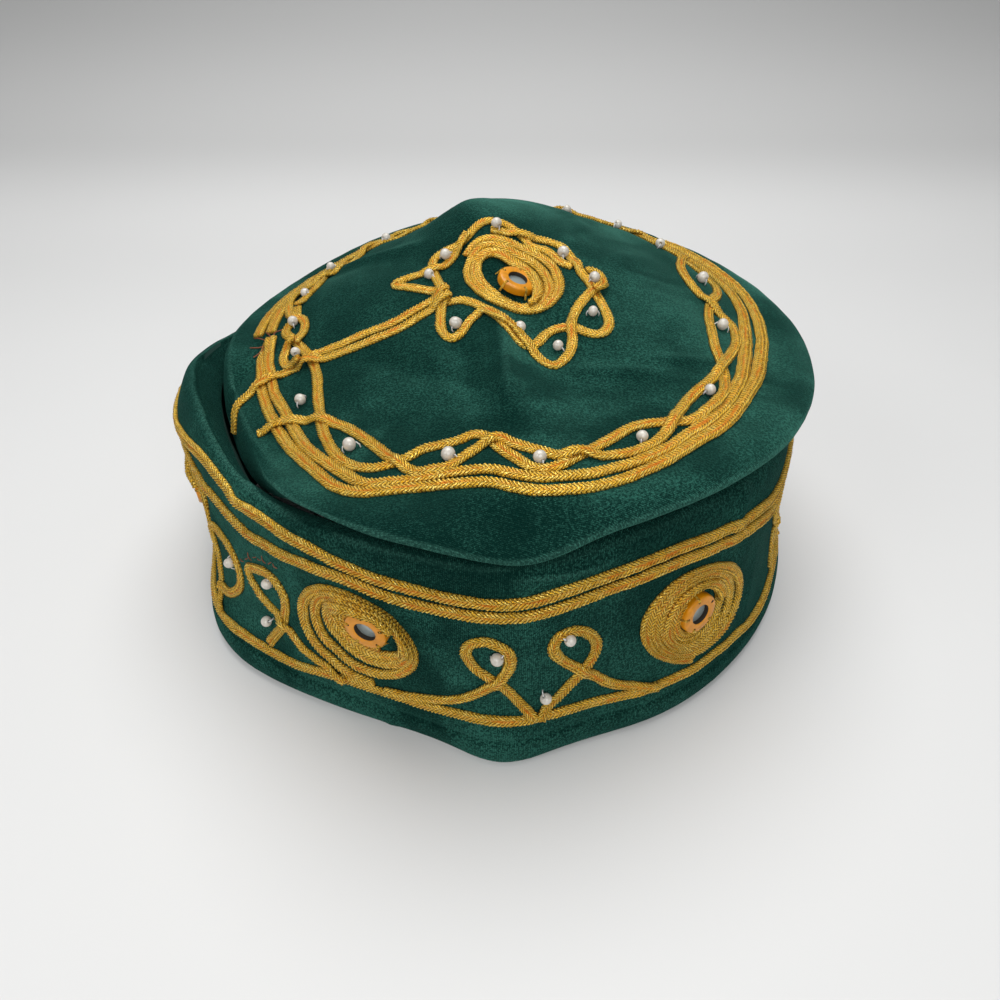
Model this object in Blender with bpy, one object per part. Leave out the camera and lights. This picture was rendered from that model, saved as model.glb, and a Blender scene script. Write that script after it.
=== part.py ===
"""A velvet pillbox hat: a stiff side band, a soft tucked crown, gold braid and small sewn mirrors.

The frame: +Z up, the hem stands on z = 0, the front of the hat faces -Y. An azimuth is counted in
degrees from the front, positive towards +X. Tables and sizes are in millimetres, and the mesh is
written in metres. Run it with: blender --background --python part.py
"""
import math

import bmesh
import bpy
import numpy as np
from mathutils import Matrix, Vector

MM = 0.001

# Cloth
BAND_WALL = 2.6         # pile, stiffener and facing of the side band
CROWN_WALL = 2.0        # soft double cloth of the crown
CLOTH_STEPS = 48        # divisions round the hat
SEAM_GAP = 0.3          # between the band's top edge and the crown's edge
WAIST_HEIGHT = 27.0
STRIPE_HEIGHT = 53.5    # middle of the pair of braids near the band's top
HEM_HEIGHT = 8.0        # turned-up hem
HEM_STEP = 0.7          # how far the turned-up hem stands out
WALL_TOP = 58.0         # above this the band rolls over to its seam
BAND_LEVELS = (0.0, 7.3, 8.6, 20.0, 32.0, 44.0, 52.0, WALL_TOP)
ROLL_START = (62.0, -0.4)   # height above the wall where it leans in, and by how much

# The side band: outer radii at three heights, then the top of its roll and its seam
BAND_COLUMNS = ("azimuth", "hem", "waist", "stripe", "rim_r", "rim_z", "seam_r", "seam_z")
BAND_ROWS = (
    (-120, 94.5, 92.5, 92.0, 89.5, 60.0, 86.0, 57.5),
    (-105, 94.5, 93.0, 92.5, 89.0, 60.5, 85.5, 57.5),
    (-95, 94.5, 93.0, 93.0, 88.5, 63.0, 84.5, 57.5),
    (-80, 94.5, 92.5, 93.5, 87.5, 68.0, 82.0, 56.5),
    (-65, 95.0, 91.5, 90.5, 85.5, 66.5, 80.0, 52.0),
    (-50, 96.5, 91.5, 89.0, 85.5, 62.5, 80.5, 51.0),
    (-37, 93.0, 91.0, 89.8, 86.5, 61.5, 82.0, 58.5),
    (-25, 90.5, 91.5, 92.0, 90.0, 63.5, 85.0, 63.5),
    (-13, 90.5, 92.0, 92.5, 91.5, 64.0, 87.0, 65.5),
    (2, 95.0, 95.0, 96.0, 94.5, 64.0, 89.5, 66.0),
    (14, 92.5, 92.5, 91.8, 90.0, 64.0, 85.5, 65.5),
    (28, 93.0, 91.0, 88.2, 86.5, 63.5, 82.5, 65.0),
    (45, 92.5, 90.0, 88.5, 86.5, 63.0, 82.0, 64.5),
    (60, 92.5, 88.0, 86.5, 84.5, 63.0, 81.0, 64.5),
    (90, 93.0, 89.0, 86.0, 84.5, 63.5, 81.5, 65.0),
    (125, 93.5, 90.5, 88.5, 87.0, 64.0, 83.5, 65.0),
    (160, 94.5, 91.5, 90.0, 88.5, 64.5, 85.0, 65.5),
    (195, 95.0, 92.5, 90.5, 89.0, 64.5, 85.5, 65.5),
    (220, 95.0, 93.0, 92.0, 90.0, 62.5, 86.5, 61.5),
)

# The crown: heights on two inner circles, then the braid ring, the widest edge and the seam
CROWN_COLUMNS = ("azimuth", "inner_z", "middle_z", "ring_r", "ring_z", "edge_r", "edge_z")
CROWN_ROWS = (
    (-90, 84.0, 74.5, 76.0, 69.0, 83.5, 63.5),
    (-75, 82.0, 71.0, 74.0, 65.5, 80.0, 61.0),
    (-60, 81.0, 69.5, 73.0, 63.0, 78.5, 57.5),
    (-48, 80.5, 70.0, 75.0, 64.5, 81.0, 60.0),
    (-36, 80.0, 72.0, 78.0, 67.5, 87.0, 66.5),
    (-22, 79.8, 74.5, 80.0, 71.5, 92.5, 70.0),
    (0, 79.5, 76.0, 80.0, 74.5, 97.0, 70.5),
    (15, 78.8, 76.5, 78.5, 74.5, 92.0, 70.5),
    (30, 79.5, 77.0, 77.0, 74.0, 89.8, 70.5),
    (60, 84.0, 79.0, 75.0, 74.0, 89.0, 69.5),
    (90, 88.0, 81.5, 75.5, 74.5, 89.0, 70.0),
    (120, 91.5, 84.5, 77.0, 76.5, 90.5, 71.0),
    (150, 94.5, 89.5, 79.0, 80.0, 92.5, 71.5),
    (180, 98.0, 93.0, 79.0, 81.0, 94.0, 72.0),
    (210, 95.0, 85.0, 78.0, 76.0, 92.0, 69.0),
    (228, 91.0, 81.0, 77.0, 71.5, 89.0, 64.0),
    (245, 87.0, 78.0, 76.5, 69.5, 87.0, 61.2),
    (258, 85.5, 76.5, 76.5, 69.0, 85.5, 61.2),
)
CENTRE_HEIGHT = 88.0
INNER_RADIUS = 30.0
MIDDLE_RADIUS = 56.0
CROWN_RADII = (12.0, 24.0, 37.0, 50.0, 64.0)
SHOULDER_OUT = 0.66     # share of the way from the ring to the edge where the crown starts to roll over
SHOULDER_UP = 0.86      # share of the ring's height over the edge that is left there
ROLL_STEPS = 3          # divisions between the given points of a roll
SEAM_ALLOWANCE = Vector((-4.0, -1.0))   # where the crown's cloth would run on behind the seam

# Soft folds of the crown: middle of the fold, its direction, half length, half width and height
FOLD_COLUMNS = ("x", "y", "direction", "half_length", "half_width", "height")
FOLD_ROWS = (
    (4.0, -42.0, -86.0, 24.0, 8.0, 2.2),        # ridge from the middle towards the front
    (-22.0, -52.0, -30.0, 26.0, 14.0, -2.0),    # hollow to the left of the ridge
    (36.0, -40.0, 25.0, 22.0, 9.0, -1.0),       # shallow dent on the right
    (-10.0, 34.0, 97.0, 17.0, 8.0, 4.2),        # peak behind the middle
    (-52.0, 16.0, 150.0, 20.0, 10.0, 1.8),      # pillow on the left
)

# Trims
INSIDE = Vector((0.0, 0.0, 25.0))           # a point in the hollow, which outward normals face away from
NORMAL_STEP = 0.4
WALL_RADIUS = 93.0
DEGREES_A_MM = math.degrees(1.0 / WALL_RADIUS)
TRIM_GAP = 0.45         # clear of the facets of the cloth
BRAID_WIDTH = 3.4
BRAID_HEIGHT = 1.4
STRAND_WIDTH = 2.6      # the finer braid of the loops and the flower
STRAND_HEIGHT = 1.2
FLAT_TOP = 0.6          # share of a braid's width that is flat on top
# Where the braids run round the band: azimuth, middle height of the pair near the top, how far each of
# the two lies from that middle, and the height of the base braid.
BRAID_LINE_COLUMNS = ("azimuth", "stripe", "spread", "base")
BRAID_LINE_ROWS = (
    (0.0, 53.6, 1.95, 15.2),
    (12.0, 55.3, 2.1, 15.4),
    (25.0, 54.8, 2.2, 13.4),
    (36.0, 53.2, 2.1, 12.2),
    (44.0, 51.8, 2.1, 11.6),
    (54.0, 50.0, 2.2, 10.8),
    (75.0, 51.6, 2.1, 11.4),
    (110.0, 52.8, 1.95, 13.4),
    (180.0, 53.5, 1.95, 14.0),
    (250.0, 53.5, 1.95, 14.0),
    (285.0, 54.2, 2.6, 12.8),
    (302.0, 55.0, 3.5, 11.0),
    (316.0, 53.6, 3.4, 11.4),
    (324.0, 54.8, 3.3, 12.2),
    (332.0, 55.6, 2.7, 13.6),
    (338.0, 55.4, 2.2, 14.2),
    (346.0, 54.3, 2.1, 14.4),
)
RING_WIDTH = 10.5
RING_GAP = 0.7          # more than the trims' gap, because this wide strip bridges the facets
# Hand-laid medallions: azimuth, height, half width, half height and turn of the oval, and where the
# mirror sits from the coil's middle, across and up.
MEDALLION_ROWS = (
    (-22.3, 33.6, 17.7, 16.0, 0.0, 4.6, 6.2),
    (33.9, 31.9, 22.4, 15.0, -27.0, -3.2, 1.8),
    (95.0, 31.6, 17.8, 15.4, 0.0, 2.2, 3.4),
    (141.0, 32.8, 17.5, 15.8, 8.0, -1.0, 4.0),
    (187.0, 32.8, 18.0, 16.0, -8.0, 2.0, 4.8),
    (236.0, 32.8, 17.6, 15.8, 0.0, 1.0, 3.0),
    (286.8, 32.4, 17.6, 15.6, 0.0, 2.4, 4.4),
)
MEDALLION_HOLE = 6.4
PAIR_AZIMUTHS = (5.2, 72.5, 118.0, 164.0, 211.0, 261.3, 312.4)   # the pairs of loops between them
MIRROR = {"rim_r": 5.4, "glass_r": 3.2, "rim_h": 2.2, "glass_h": 1.0, "gap": 0.3, "sides": 12}
# The rim's section: share of the way from its bore to its outside, share of its height
RIM_SECTION = ((0.0, 0.0), (1.0, 0.0), (1.0, 0.45), (0.55, 1.0), (0.0, 0.8))
# A coil's section: share of the way from its hole to its outside, height
COIL_SECTION = ((0.0, 0.0), (0.16, 1.5), (0.5, 0.8), (0.86, 1.5), (1.0, 0.0), (0.5, 0.0))
# The ring's section: share of its half width, height
RING_SECTION = ((-1.0, 0.0), (-0.66, 1.4), (-0.33, 0.8), (0.0, 1.4), (0.33, 0.8), (0.66, 1.4), (1.0, 0.0),
                (0.0, 0.0))
CROWN_COIL = {"x": 3.0, "y": 0.0, "half_width": 17.6, "half_height": 14.4, "hole": 6.6, "turn": -45.0}
CROWN_MIRROR = {"x": 4.0, "y": -4.5, "lift": 0.9}   # lifted clear of the crown's facets
FLOWER = {"x": 3.0, "y": -5.0, "radius": 27.0, "wave": 3.0, "lobes": 9, "steps": 4}
COIL_SIDES = 12
CROWN_COIL_SIDES = 16
# A loop: its eye, then its foot and the turn round the eye in degrees
LOOP = {"offset": 8.6, "z": 38.5, "half_width": 5.0, "half_height": 5.8, "foot": 3.2, "knee_z": 27.0,
        "clear": 0.6, "first": 208.0, "turn": -27.0, "points": 12}
TAIL = {"start": (-33.0, -14.5), "end": (-59.5, -18.0), "width": 7.0, "steps": 6}


def clear_scene():
    for item in list(bpy.data.objects):
        bpy.data.objects.remove(item, do_unlink=True)


def hermite(knots, values, where, period=None):
    """A smooth curve through uneven knots; with a period, a closed one."""
    knots, values = np.asarray(knots, float), np.asarray(values, float)
    order = np.argsort(knots)
    knots, values = knots[order], values[order]
    if period:
        knots = np.concatenate((knots[-2:] - period, knots, knots[:2] + period))
        values = np.concatenate((values[-2:], values, values[:2]))
        where = (np.asarray(where, float) - knots[2]) % period + knots[2]
    slopes = np.gradient(values, knots)
    where = np.clip(where, knots[0], knots[-1])
    left = np.clip(np.searchsorted(knots, where, side="right") - 1, 0, len(knots) - 2)
    span = knots[left + 1] - knots[left]
    t = (where - knots[left]) / span
    rise = (2 * t**3 - 3 * t**2 + 1) * values[left] + (3 * t**2 - 2 * t**3) * values[left + 1]
    return rise + span * ((t**3 - 2 * t**2 + t) * slopes[left] + (t**3 - t**2) * slopes[left + 1])


def row_value(columns, rows, name, azimuth):
    knots = [row[0] % 360.0 for row in rows]
    return float(hermite(knots, [row[columns.index(name)] for row in rows], azimuth, 360.0))


def band_value(name, azimuth):
    return row_value(BAND_COLUMNS, BAND_ROWS, name, azimuth)


def braid_line(name, azimuth):
    return row_value(BRAID_LINE_COLUMNS, BRAID_LINE_ROWS, name, azimuth)


def crown_value(name, azimuth):
    return row_value(CROWN_COLUMNS, CROWN_ROWS, name, azimuth)


def polar(azimuth, radius, height):
    angle = math.radians(azimuth)
    return Vector((radius * math.sin(angle), -radius * math.cos(angle), height))


def band_radius(azimuth, height):
    """Outer radius of the side band below its roll, without the hem's step."""
    heights = (0.0, WAIST_HEIGHT, STRIPE_HEIGHT, ROLL_START[0])
    stripe = band_value("stripe", azimuth)
    radii = (band_value("hem", azimuth), band_value("waist", azimuth), stripe, stripe + ROLL_START[1])
    return float(hermite(heights, radii, height))


def band_point(azimuth, height):
    return polar(azimuth, band_radius(azimuth, height), height)


def through(points, steps):
    """Points of a Catmull-Rom curve from the second to the last but one of the given points."""
    found = []
    for first in range(len(points) - 3):
        a, b, c, d = (Vector(point) for point in points[first:first + 4])
        for step in range(steps):
            t = step / steps
            found.append(0.5 * (2 * b + (c - a) * t + (2 * a - 5 * b + 4 * c - d) * t * t
                                + (3 * b - a - 3 * c + d) * t**3))
    found.append(Vector(points[-2]))
    return found


def band_section(azimuth):
    """Radius and height along the outside of the side band, from the hem to its seam."""
    section = []
    for height in BAND_LEVELS:
        radius = band_radius(azimuth, height)
        if height < HEM_HEIGHT:
            radius = band_value("hem", azimuth) + HEM_STEP
        section.append(Vector((radius, height)))
    rim = Vector((band_value("rim_r", azimuth), band_value("rim_z", azimuth)))
    seam = Vector((band_value("seam_r", azimuth), band_value("seam_z", azimuth)))
    beyond = seam + (seam - rim) / 2
    return section[:-1] + through((section[-2], section[-1], rim, seam, beyond), ROLL_STEPS)


def fold_height(x, y):
    lift = 0.0
    for centre_x, centre_y, direction, half_length, half_width, height in FOLD_ROWS:
        turn = math.radians(direction)
        along = (x - centre_x) * math.cos(turn) + (y - centre_y) * math.sin(turn)
        across = (y - centre_y) * math.cos(turn) - (x - centre_x) * math.sin(turn)
        lift += height * math.exp(-(along / half_length) ** 2 - (across / half_width) ** 2)
    return lift


def crown_height(azimuth, radius):
    ring = crown_value("ring_r", azimuth)
    knots = (-INNER_RADIUS, 0.0, INNER_RADIUS, MIDDLE_RADIUS, ring)
    heights = (crown_value("inner_z", azimuth + 180.0), CENTRE_HEIGHT, crown_value("inner_z", azimuth),
               crown_value("middle_z", azimuth), crown_value("ring_z", azimuth))
    place = polar(azimuth, radius, 0.0)
    return float(hermite(knots, heights, radius)) + fold_height(place.x, place.y)


def crown_point(azimuth, radius):
    return polar(azimuth, radius, crown_height(azimuth, radius))


def crown_at(x, y):
    azimuth, radius = math.degrees(math.atan2(x, -y)), math.hypot(x, y)
    return Vector((x, y, crown_height(azimuth, radius)))


def crown_section(azimuth):
    """Radius and height along the top of the crown, from near the middle out to its seam."""
    section = [Vector((radius, crown_height(azimuth, radius))) for radius in CROWN_RADII]
    ring = Vector((crown_value("ring_r", azimuth), 0.0))
    ring.y = crown_height(azimuth, ring.x)
    edge = Vector((crown_value("edge_r", azimuth), crown_value("edge_z", azimuth)))
    shoulder = Vector((ring.x + SHOULDER_OUT * (edge.x - ring.x), edge.y + SHOULDER_UP * (ring.y - edge.y)))
    seam = Vector((band_value("seam_r", azimuth), band_value("seam_z", azimuth)))
    seam += (edge - seam).normalized() * SEAM_GAP + Vector((-SEAM_GAP, 2 * SEAM_GAP))
    return section + through((section[-1], ring, shoulder, edge, seam, seam + SEAM_ALLOWANCE), ROLL_STEPS)


def material(name, colour, roughness, metallic=0.0):
    made = bpy.data.materials.new(name)
    made.use_nodes = True
    shader = made.node_tree.nodes["Principled BSDF"]
    shader.inputs["Base Color"].default_value = (*colour, 1.0)
    shader.inputs["Roughness"].default_value = roughness
    shader.inputs["Metallic"].default_value = metallic
    return made


def add_object(name, mesh_data, finish):
    mesh = bpy.data.meshes.new(name)
    mesh_data.to_mesh(mesh)
    mesh_data.free()
    mesh.shade_smooth()
    mesh.materials.append(finish)
    made = bpy.data.objects.new(name, mesh)
    bpy.context.scene.collection.objects.link(made)
    return made


def ring_of(shape, points):
    return [shape.verts.new(point * MM) for point in points]


def lace(shape, first, second):
    """Faces between two closed rings of as many points."""
    count = len(first)
    for place in range(count):
        after = (place + 1) % count
        shape.faces.new((first[place], second[place], second[after], first[after]))


def shell(name, rings, centre, wall, finish):
    """A cloth shell: rings of points joined in order, closed at its centre, then given a wall."""
    shape = bmesh.new()
    made = [ring_of(shape, points) for points in rings]
    for first, second in zip(made, made[1:]):
        lace(shape, first, second)
    if centre is not None:
        middle = shape.verts.new(centre * MM)
        for place, vert in enumerate(made[0]):
            shape.faces.new((middle, vert, made[0][(place + 1) % len(made[0])]))
    bmesh.ops.recalc_face_normals(shape, faces=shape.faces)
    widest = max(shape.faces, key=lambda face: face.calc_center_median().xy.length)
    if widest.normal.dot(widest.calc_center_median().xy.to_3d()) < 0:
        bmesh.ops.reverse_faces(shape, faces=shape.faces)
    made = add_object(name, shape, finish)
    thicken = made.modifiers.new("wall", "SOLIDIFY")
    thicken.thickness = wall * MM
    thicken.offset = -1.0
    return made


def side_band(finish):
    azimuths = [360.0 * step / CLOTH_STEPS for step in range(CLOTH_STEPS)]
    sections = [band_section(azimuth) for azimuth in azimuths]
    rings = []
    for level in range(len(sections[0])):
        rings.append([polar(azimuth, *section[level]) for azimuth, section in zip(azimuths, sections)])
    return shell("side_band", rings, None, BAND_WALL, finish)


def crown(finish):
    azimuths = [360.0 * step / CLOTH_STEPS for step in range(CLOTH_STEPS)]
    sections = [crown_section(azimuth) for azimuth in azimuths]
    rings = []
    for level in range(len(sections[0])):
        rings.append([polar(azimuth, *section[level]) for azimuth, section in zip(azimuths, sections)])
    centre = Vector((0.0, 0.0, CENTRE_HEIGHT + fold_height(0.0, 0.0)))
    return shell("crown", rings, centre, CROWN_WALL, finish)


def surface_normal(surface, u, v, away):
    """Outward normal of a surface given by two numbers; away is a point on its inner side."""
    tangent_u = surface(u + NORMAL_STEP, v) - surface(u - NORMAL_STEP, v)
    tangent_v = surface(u, v + NORMAL_STEP) - surface(u, v - NORMAL_STEP)
    normal = tangent_u.cross(tangent_v).normalized()
    return normal if normal.dot(surface(u, v) - away) > 0 else -normal


def braid(name, surface, path, profile, closed, finish):
    """A strip that lies on a surface. The profile holds (across, up) pairs in millimetres."""
    shape = bmesh.new()
    places = [surface(*spot) for spot in path]
    count = len(path)
    rings = []
    for index, spot in enumerate(path):
        before = places[index - 1] if closed or index else places[0]
        after = places[(index + 1) % count] if closed or index < count - 1 else places[-1]
        normal = surface_normal(surface, *spot, INSIDE)
        side = (after - before).normalized().cross(normal).normalized()
        rings.append(ring_of(shape, [places[index] + side * across + normal * (up + TRIM_GAP)
                                     for across, up in profile]))
    for first, second in zip(rings, rings[1:]):
        lace(shape, first, second)
    if closed:
        lace(shape, rings[-1], rings[0])
    else:
        shape.faces.new(rings[0])
        shape.faces.new(rings[-1])
    bmesh.ops.recalc_face_normals(shape, faces=shape.faces)
    return add_object(name, shape, finish)


def flat_profile(width, height):
    half = width / 2
    return ((-half, 0.0), (-half * FLAT_TOP, height), (half * FLAT_TOP, height), (half, 0.0))


def band_rows(finish):
    """The pair of braids near the band's top and the one along its foot."""
    azimuths = [360.0 * step / CLOTH_STEPS for step in range(CLOTH_STEPS)]
    profile = flat_profile(BRAID_WIDTH, BRAID_HEIGHT)
    for name, line, side in (("stripe_braid_upper", "stripe", 1), ("stripe_braid_lower", "stripe", -1),
                             ("base_braid", "base", 0)):
        path = [(azimuth, braid_line(line, azimuth) + side * braid_line("spread", azimuth)) for azimuth in azimuths]
        braid(name, band_point, path, profile, True, finish)


def crown_ring(finish):
    """Three braids side by side round the crown, in one strip with two grooves."""
    shape = bmesh.new()
    half = RING_WIDTH / 2
    rings = []
    for step in range(CLOTH_STEPS):
        azimuth = 360.0 * step / CLOTH_STEPS
        middle = crown_value("ring_r", azimuth) - half
        ring = []
        for share, up in RING_SECTION:
            radius = middle + half * share
            normal = surface_normal(crown_point, azimuth, radius, INSIDE)
            ring.append(crown_point(azimuth, radius) + normal * (up + RING_GAP))
        rings.append(ring_of(shape, ring))
    for index, ring in enumerate(rings):
        lace(shape, ring, rings[(index + 1) % len(rings)])
    bmesh.ops.recalc_face_normals(shape, faces=shape.faces)
    return add_object("crown_ring_braid", shape, finish)


def coil(name, surface, centre, shift, size, sides, finish):
    """An oval of coiled braid round a hole for its mirror. Shift is the hole's place from the middle."""
    shape = bmesh.new()
    rings = []
    turn = math.radians(size["turn"])
    for out, up in COIL_SECTION:
        width = size["hole"] * (1 - out) + size["half_width"] * out
        height = size["hole"] * (1 - out) + size["half_height"] * out
        ring = []
        for side in range(sides):
            angle = 2 * math.pi * side / sides
            x, y = width * math.cos(angle), height * math.sin(angle)
            spot = (centre[0] + shift[0] * (1 - out) + x * math.cos(turn) - y * math.sin(turn),
                    centre[1] + shift[1] * (1 - out) + x * math.sin(turn) + y * math.cos(turn))
            ring.append(surface(*spot) + surface_normal(surface, *spot, INSIDE) * (up + TRIM_GAP))
        rings.append(ring_of(shape, ring))
    for index, ring in enumerate(rings):
        lace(shape, ring, rings[(index + 1) % len(rings)])
    bmesh.ops.recalc_face_normals(shape, faces=shape.faces)
    return add_object(name, shape, finish)


def face_out(piece, place, normal):
    piece.location = place * MM
    piece.rotation_mode = "QUATERNION"
    piece.rotation_quaternion = normal.to_track_quat("Z", "Y")


def mirror_rim(name, finish):
    """A turned ring, from its section."""
    shape = bmesh.new()
    bore, sides = MIRROR["glass_r"] + MIRROR["gap"], MIRROR["sides"]
    rings = []
    for out, up in RIM_SECTION:
        radius = bore + (MIRROR["rim_r"] - bore) * out
        angles = [2 * math.pi * side / sides for side in range(sides)]
        rings.append(ring_of(shape, [Vector((radius * math.cos(angle), radius * math.sin(angle),
                                             MIRROR["rim_h"] * up)) for angle in angles]))
    for index, ring in enumerate(rings):
        lace(shape, ring, rings[(index + 1) % len(rings)])
    bmesh.ops.recalc_face_normals(shape, faces=shape.faces)
    return add_object(name, shape, finish)


def mirror_glass(name, finish):
    shape = bmesh.new()
    radius, height = MIRROR["glass_r"] * MM, MIRROR["glass_h"] * MM
    bmesh.ops.create_cone(shape, cap_ends=True, segments=MIRROR["sides"], radius1=radius, radius2=radius,
                          depth=height, matrix=Matrix.Translation((0.0, 0.0, height / 2)))
    return add_object(name, shape, finish)


def mirror(number, place, normal, plastic, glass):
    """A round mirror in its plastic rim, on a surface and facing out."""
    face_out(mirror_rim(f"mirror_rim_{number}", plastic), place, normal)
    face_out(mirror_glass(f"mirror_glass_{number}", glass), place, normal)


def loop_path(centre, hand):
    """A strand that climbs from the foot braid and turns once round an eye. Hand is 1 or -1."""
    foot = braid_line("base", centre + hand * LOOP["foot"] * DEGREES_A_MM)
    path = [(LOOP["foot"], foot + BRAID_WIDTH + LOOP["clear"]), (LOOP["foot"], LOOP["knee_z"])]
    for step in range(LOOP["points"]):
        angle = math.radians(LOOP["first"] + LOOP["turn"] * step)
        path.append((LOOP["offset"] + LOOP["half_width"] * math.cos(angle),
                     LOOP["z"] + LOOP["half_height"] * math.sin(angle)))
    return [(centre + hand * x * DEGREES_A_MM, height) for x, height in path]


def medallions_and_loops(gold, plastic, glass):
    def wall(x, y):
        return band_point(x * DEGREES_A_MM, y)

    profile = flat_profile(STRAND_WIDTH, STRAND_HEIGHT)
    for number, (middle, height, half_width, half_height, turn, across, up) in enumerate(MEDALLION_ROWS, 1):
        centre = (middle / DEGREES_A_MM, height)
        size = {"hole": MEDALLION_HOLE, "half_width": half_width, "half_height": half_height, "turn": turn}
        coil(f"coil_braid_{number}", wall, centre, (across, up), size, COIL_SIDES, gold)
        spot = (centre[0] + across, centre[1] + up)
        normal = surface_normal(wall, *spot, INSIDE)
        mirror(number, wall(*spot) + normal * TRIM_GAP, normal, plastic, glass)
    for number, middle in enumerate(PAIR_AZIMUTHS, 1):
        for side, hand in (("left", -1), ("right", 1)):
            braid(f"loop_braid_{side}_{number}", band_point, loop_path(middle, hand), profile, False, gold)


def crown_trims(gold, plastic, glass):
    crown_ring(gold)
    shift = (CROWN_MIRROR["x"] - CROWN_COIL["x"], CROWN_MIRROR["y"] - CROWN_COIL["y"])
    coil("crown_coil_braid", crown_at, (CROWN_COIL["x"], CROWN_COIL["y"]), shift, CROWN_COIL,
         CROWN_COIL_SIDES, gold)
    normal = surface_normal(crown_at, CROWN_MIRROR["x"], CROWN_MIRROR["y"], INSIDE)
    place = crown_at(CROWN_MIRROR["x"], CROWN_MIRROR["y"])
    mirror(len(MEDALLION_ROWS) + 1, place + normal * CROWN_MIRROR["lift"], normal, plastic, glass)
    path = []
    steps = FLOWER["lobes"] * FLOWER["steps"]
    for step in range(steps):
        angle = 2 * math.pi * step / steps
        radius = FLOWER["radius"] + FLOWER["wave"] * math.cos(FLOWER["lobes"] * angle)
        path.append((FLOWER["x"] + radius * math.cos(angle), FLOWER["y"] + radius * math.sin(angle)))
    braid("crown_flower_braid", crown_at, path, flat_profile(STRAND_WIDTH, STRAND_HEIGHT), True, gold)
    start, end = Vector(TAIL["start"]), Vector(TAIL["end"])
    path = [start.lerp(end, step / TAIL["steps"]) for step in range(TAIL["steps"] + 1)]
    braid("crown_tail_braid", crown_at, path, flat_profile(TAIL["width"], STRAND_HEIGHT), False, gold)


def centre_on_origin():
    """Everything hangs on one empty, which sets the middle of the hat's outline over the origin."""
    bpy.context.view_layer.update()
    corners = []
    for item in bpy.data.objects:
        if item.type == "MESH":
            corners += [item.matrix_world @ vert.co for vert in item.data.vertices]
    low = [min(corner[axis] for corner in corners) for axis in range(3)]
    high = [max(corner[axis] for corner in corners) for axis in range(3)]
    hold = bpy.data.objects.new("hat", None)
    bpy.context.scene.collection.objects.link(hold)
    for item in bpy.data.objects:
        if item.type == "MESH":
            item.parent = hold
    hold.location = (-(low[0] + high[0]) / 2, -(low[1] + high[1]) / 2, -low[2])
    bpy.context.view_layer.update()


def main():
    clear_scene()
    velvet = material("green_velvet", (0.012, 0.055, 0.042), 0.85)
    gold = material("gold_braid", (0.62, 0.36, 0.06), 0.42, 0.35)
    plastic = material("gold_plastic", (0.66, 0.30, 0.03), 0.22)
    glass = material("mirror_glass", (0.62, 0.66, 0.68), 0.06, 1.0)
    side_band(velvet)
    crown(velvet)
    band_rows(gold)
    medallions_and_loops(gold, plastic, glass)
    crown_trims(gold, plastic, glass)
    centre_on_origin()


main()
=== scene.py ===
import math

import bmesh
import bpy
import numpy as np
from bpy.props import FloatProperty, FloatVectorProperty, IntProperty, PointerProperty
from mathutils import Matrix, Vector, kdtree, noise
from mathutils.bvhtree import BVHTree


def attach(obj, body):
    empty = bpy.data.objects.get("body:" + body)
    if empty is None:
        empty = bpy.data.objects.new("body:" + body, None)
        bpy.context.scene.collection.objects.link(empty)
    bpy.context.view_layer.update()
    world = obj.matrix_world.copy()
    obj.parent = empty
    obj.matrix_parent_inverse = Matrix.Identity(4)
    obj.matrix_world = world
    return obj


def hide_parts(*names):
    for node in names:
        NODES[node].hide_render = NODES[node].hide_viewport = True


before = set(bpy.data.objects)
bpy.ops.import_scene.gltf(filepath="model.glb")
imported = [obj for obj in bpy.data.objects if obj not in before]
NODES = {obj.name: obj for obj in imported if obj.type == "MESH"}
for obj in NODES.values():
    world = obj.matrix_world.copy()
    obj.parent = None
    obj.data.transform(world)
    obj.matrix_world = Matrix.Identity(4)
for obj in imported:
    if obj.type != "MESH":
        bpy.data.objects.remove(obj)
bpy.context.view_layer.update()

bl_info = {
    "name": "Embroidered velvet pillbox hat",
    "version": (1, 0, 0),
    "blender": (4, 5, 0),
    "location": "3D View > Sidebar > Hat",
    "description": "Velvet, laid gold braid, beads and mirrors round the packed hat",
    "category": "Object",
}

MM = 0.001
HAT_AXIS = Vector((0.000885, 0.001164, 0.0))   # the hat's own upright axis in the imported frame
WALL_RADIUS = 93.0                             # mm, turns a length round the band into an angle
REPEATS = 7                                    # medallions round the band
MIRRORS = REPEATS + 1                          # the last one is on the crown
FINE_HEIGHT = 1.1 * MM                         # how far the finer braids stand above the velvet

# Medallions: angle, height, half width, half height and turn of the oval, then how far the
# hole for the mirror is from its middle, across and up, in mm and degrees.
MEDALLIONS = (
    (-22.3, 33.3, 18.0, 17.2, 0.0, 5.2, 6.0),
    (33.9, 31.9, 22.6, 15.6, -27.0, -3.1, 1.4),
    (95.0, 31.6, 18.0, 16.8, 0.0, 2.2, 3.4),
    (141.0, 32.8, 17.7, 17.0, 8.0, -1.0, 4.0),
    (187.0, 32.8, 18.2, 17.2, -8.0, 2.0, 4.8),
    (236.0, 32.8, 17.8, 17.0, 0.0, 1.0, 3.0),
    (286.8, 32.4, 17.8, 17.0, 0.0, 2.4, 4.4),
)
PAIR_ANGLES = (5.2, 72.5, 118.0, 164.0, 211.0, 261.3, 312.4)
FRONT_PAIR, RIGHT_PAIR, LEFT_PAIR = 0, 1, 6
MEASURED_PAIRS = (FRONT_PAIR, LEFT_PAIR)       # their loops are laid as drawn, the others vary a little
# A medallion's coil: half sizes and lean of its hole, rows, width and where it starts, in mm and degrees.
COIL = {"hole_half": (8.4, 7.4), "hole_lean": 20.0, "rows": 3.7, "width": 3.0, "start": -76.0}
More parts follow.
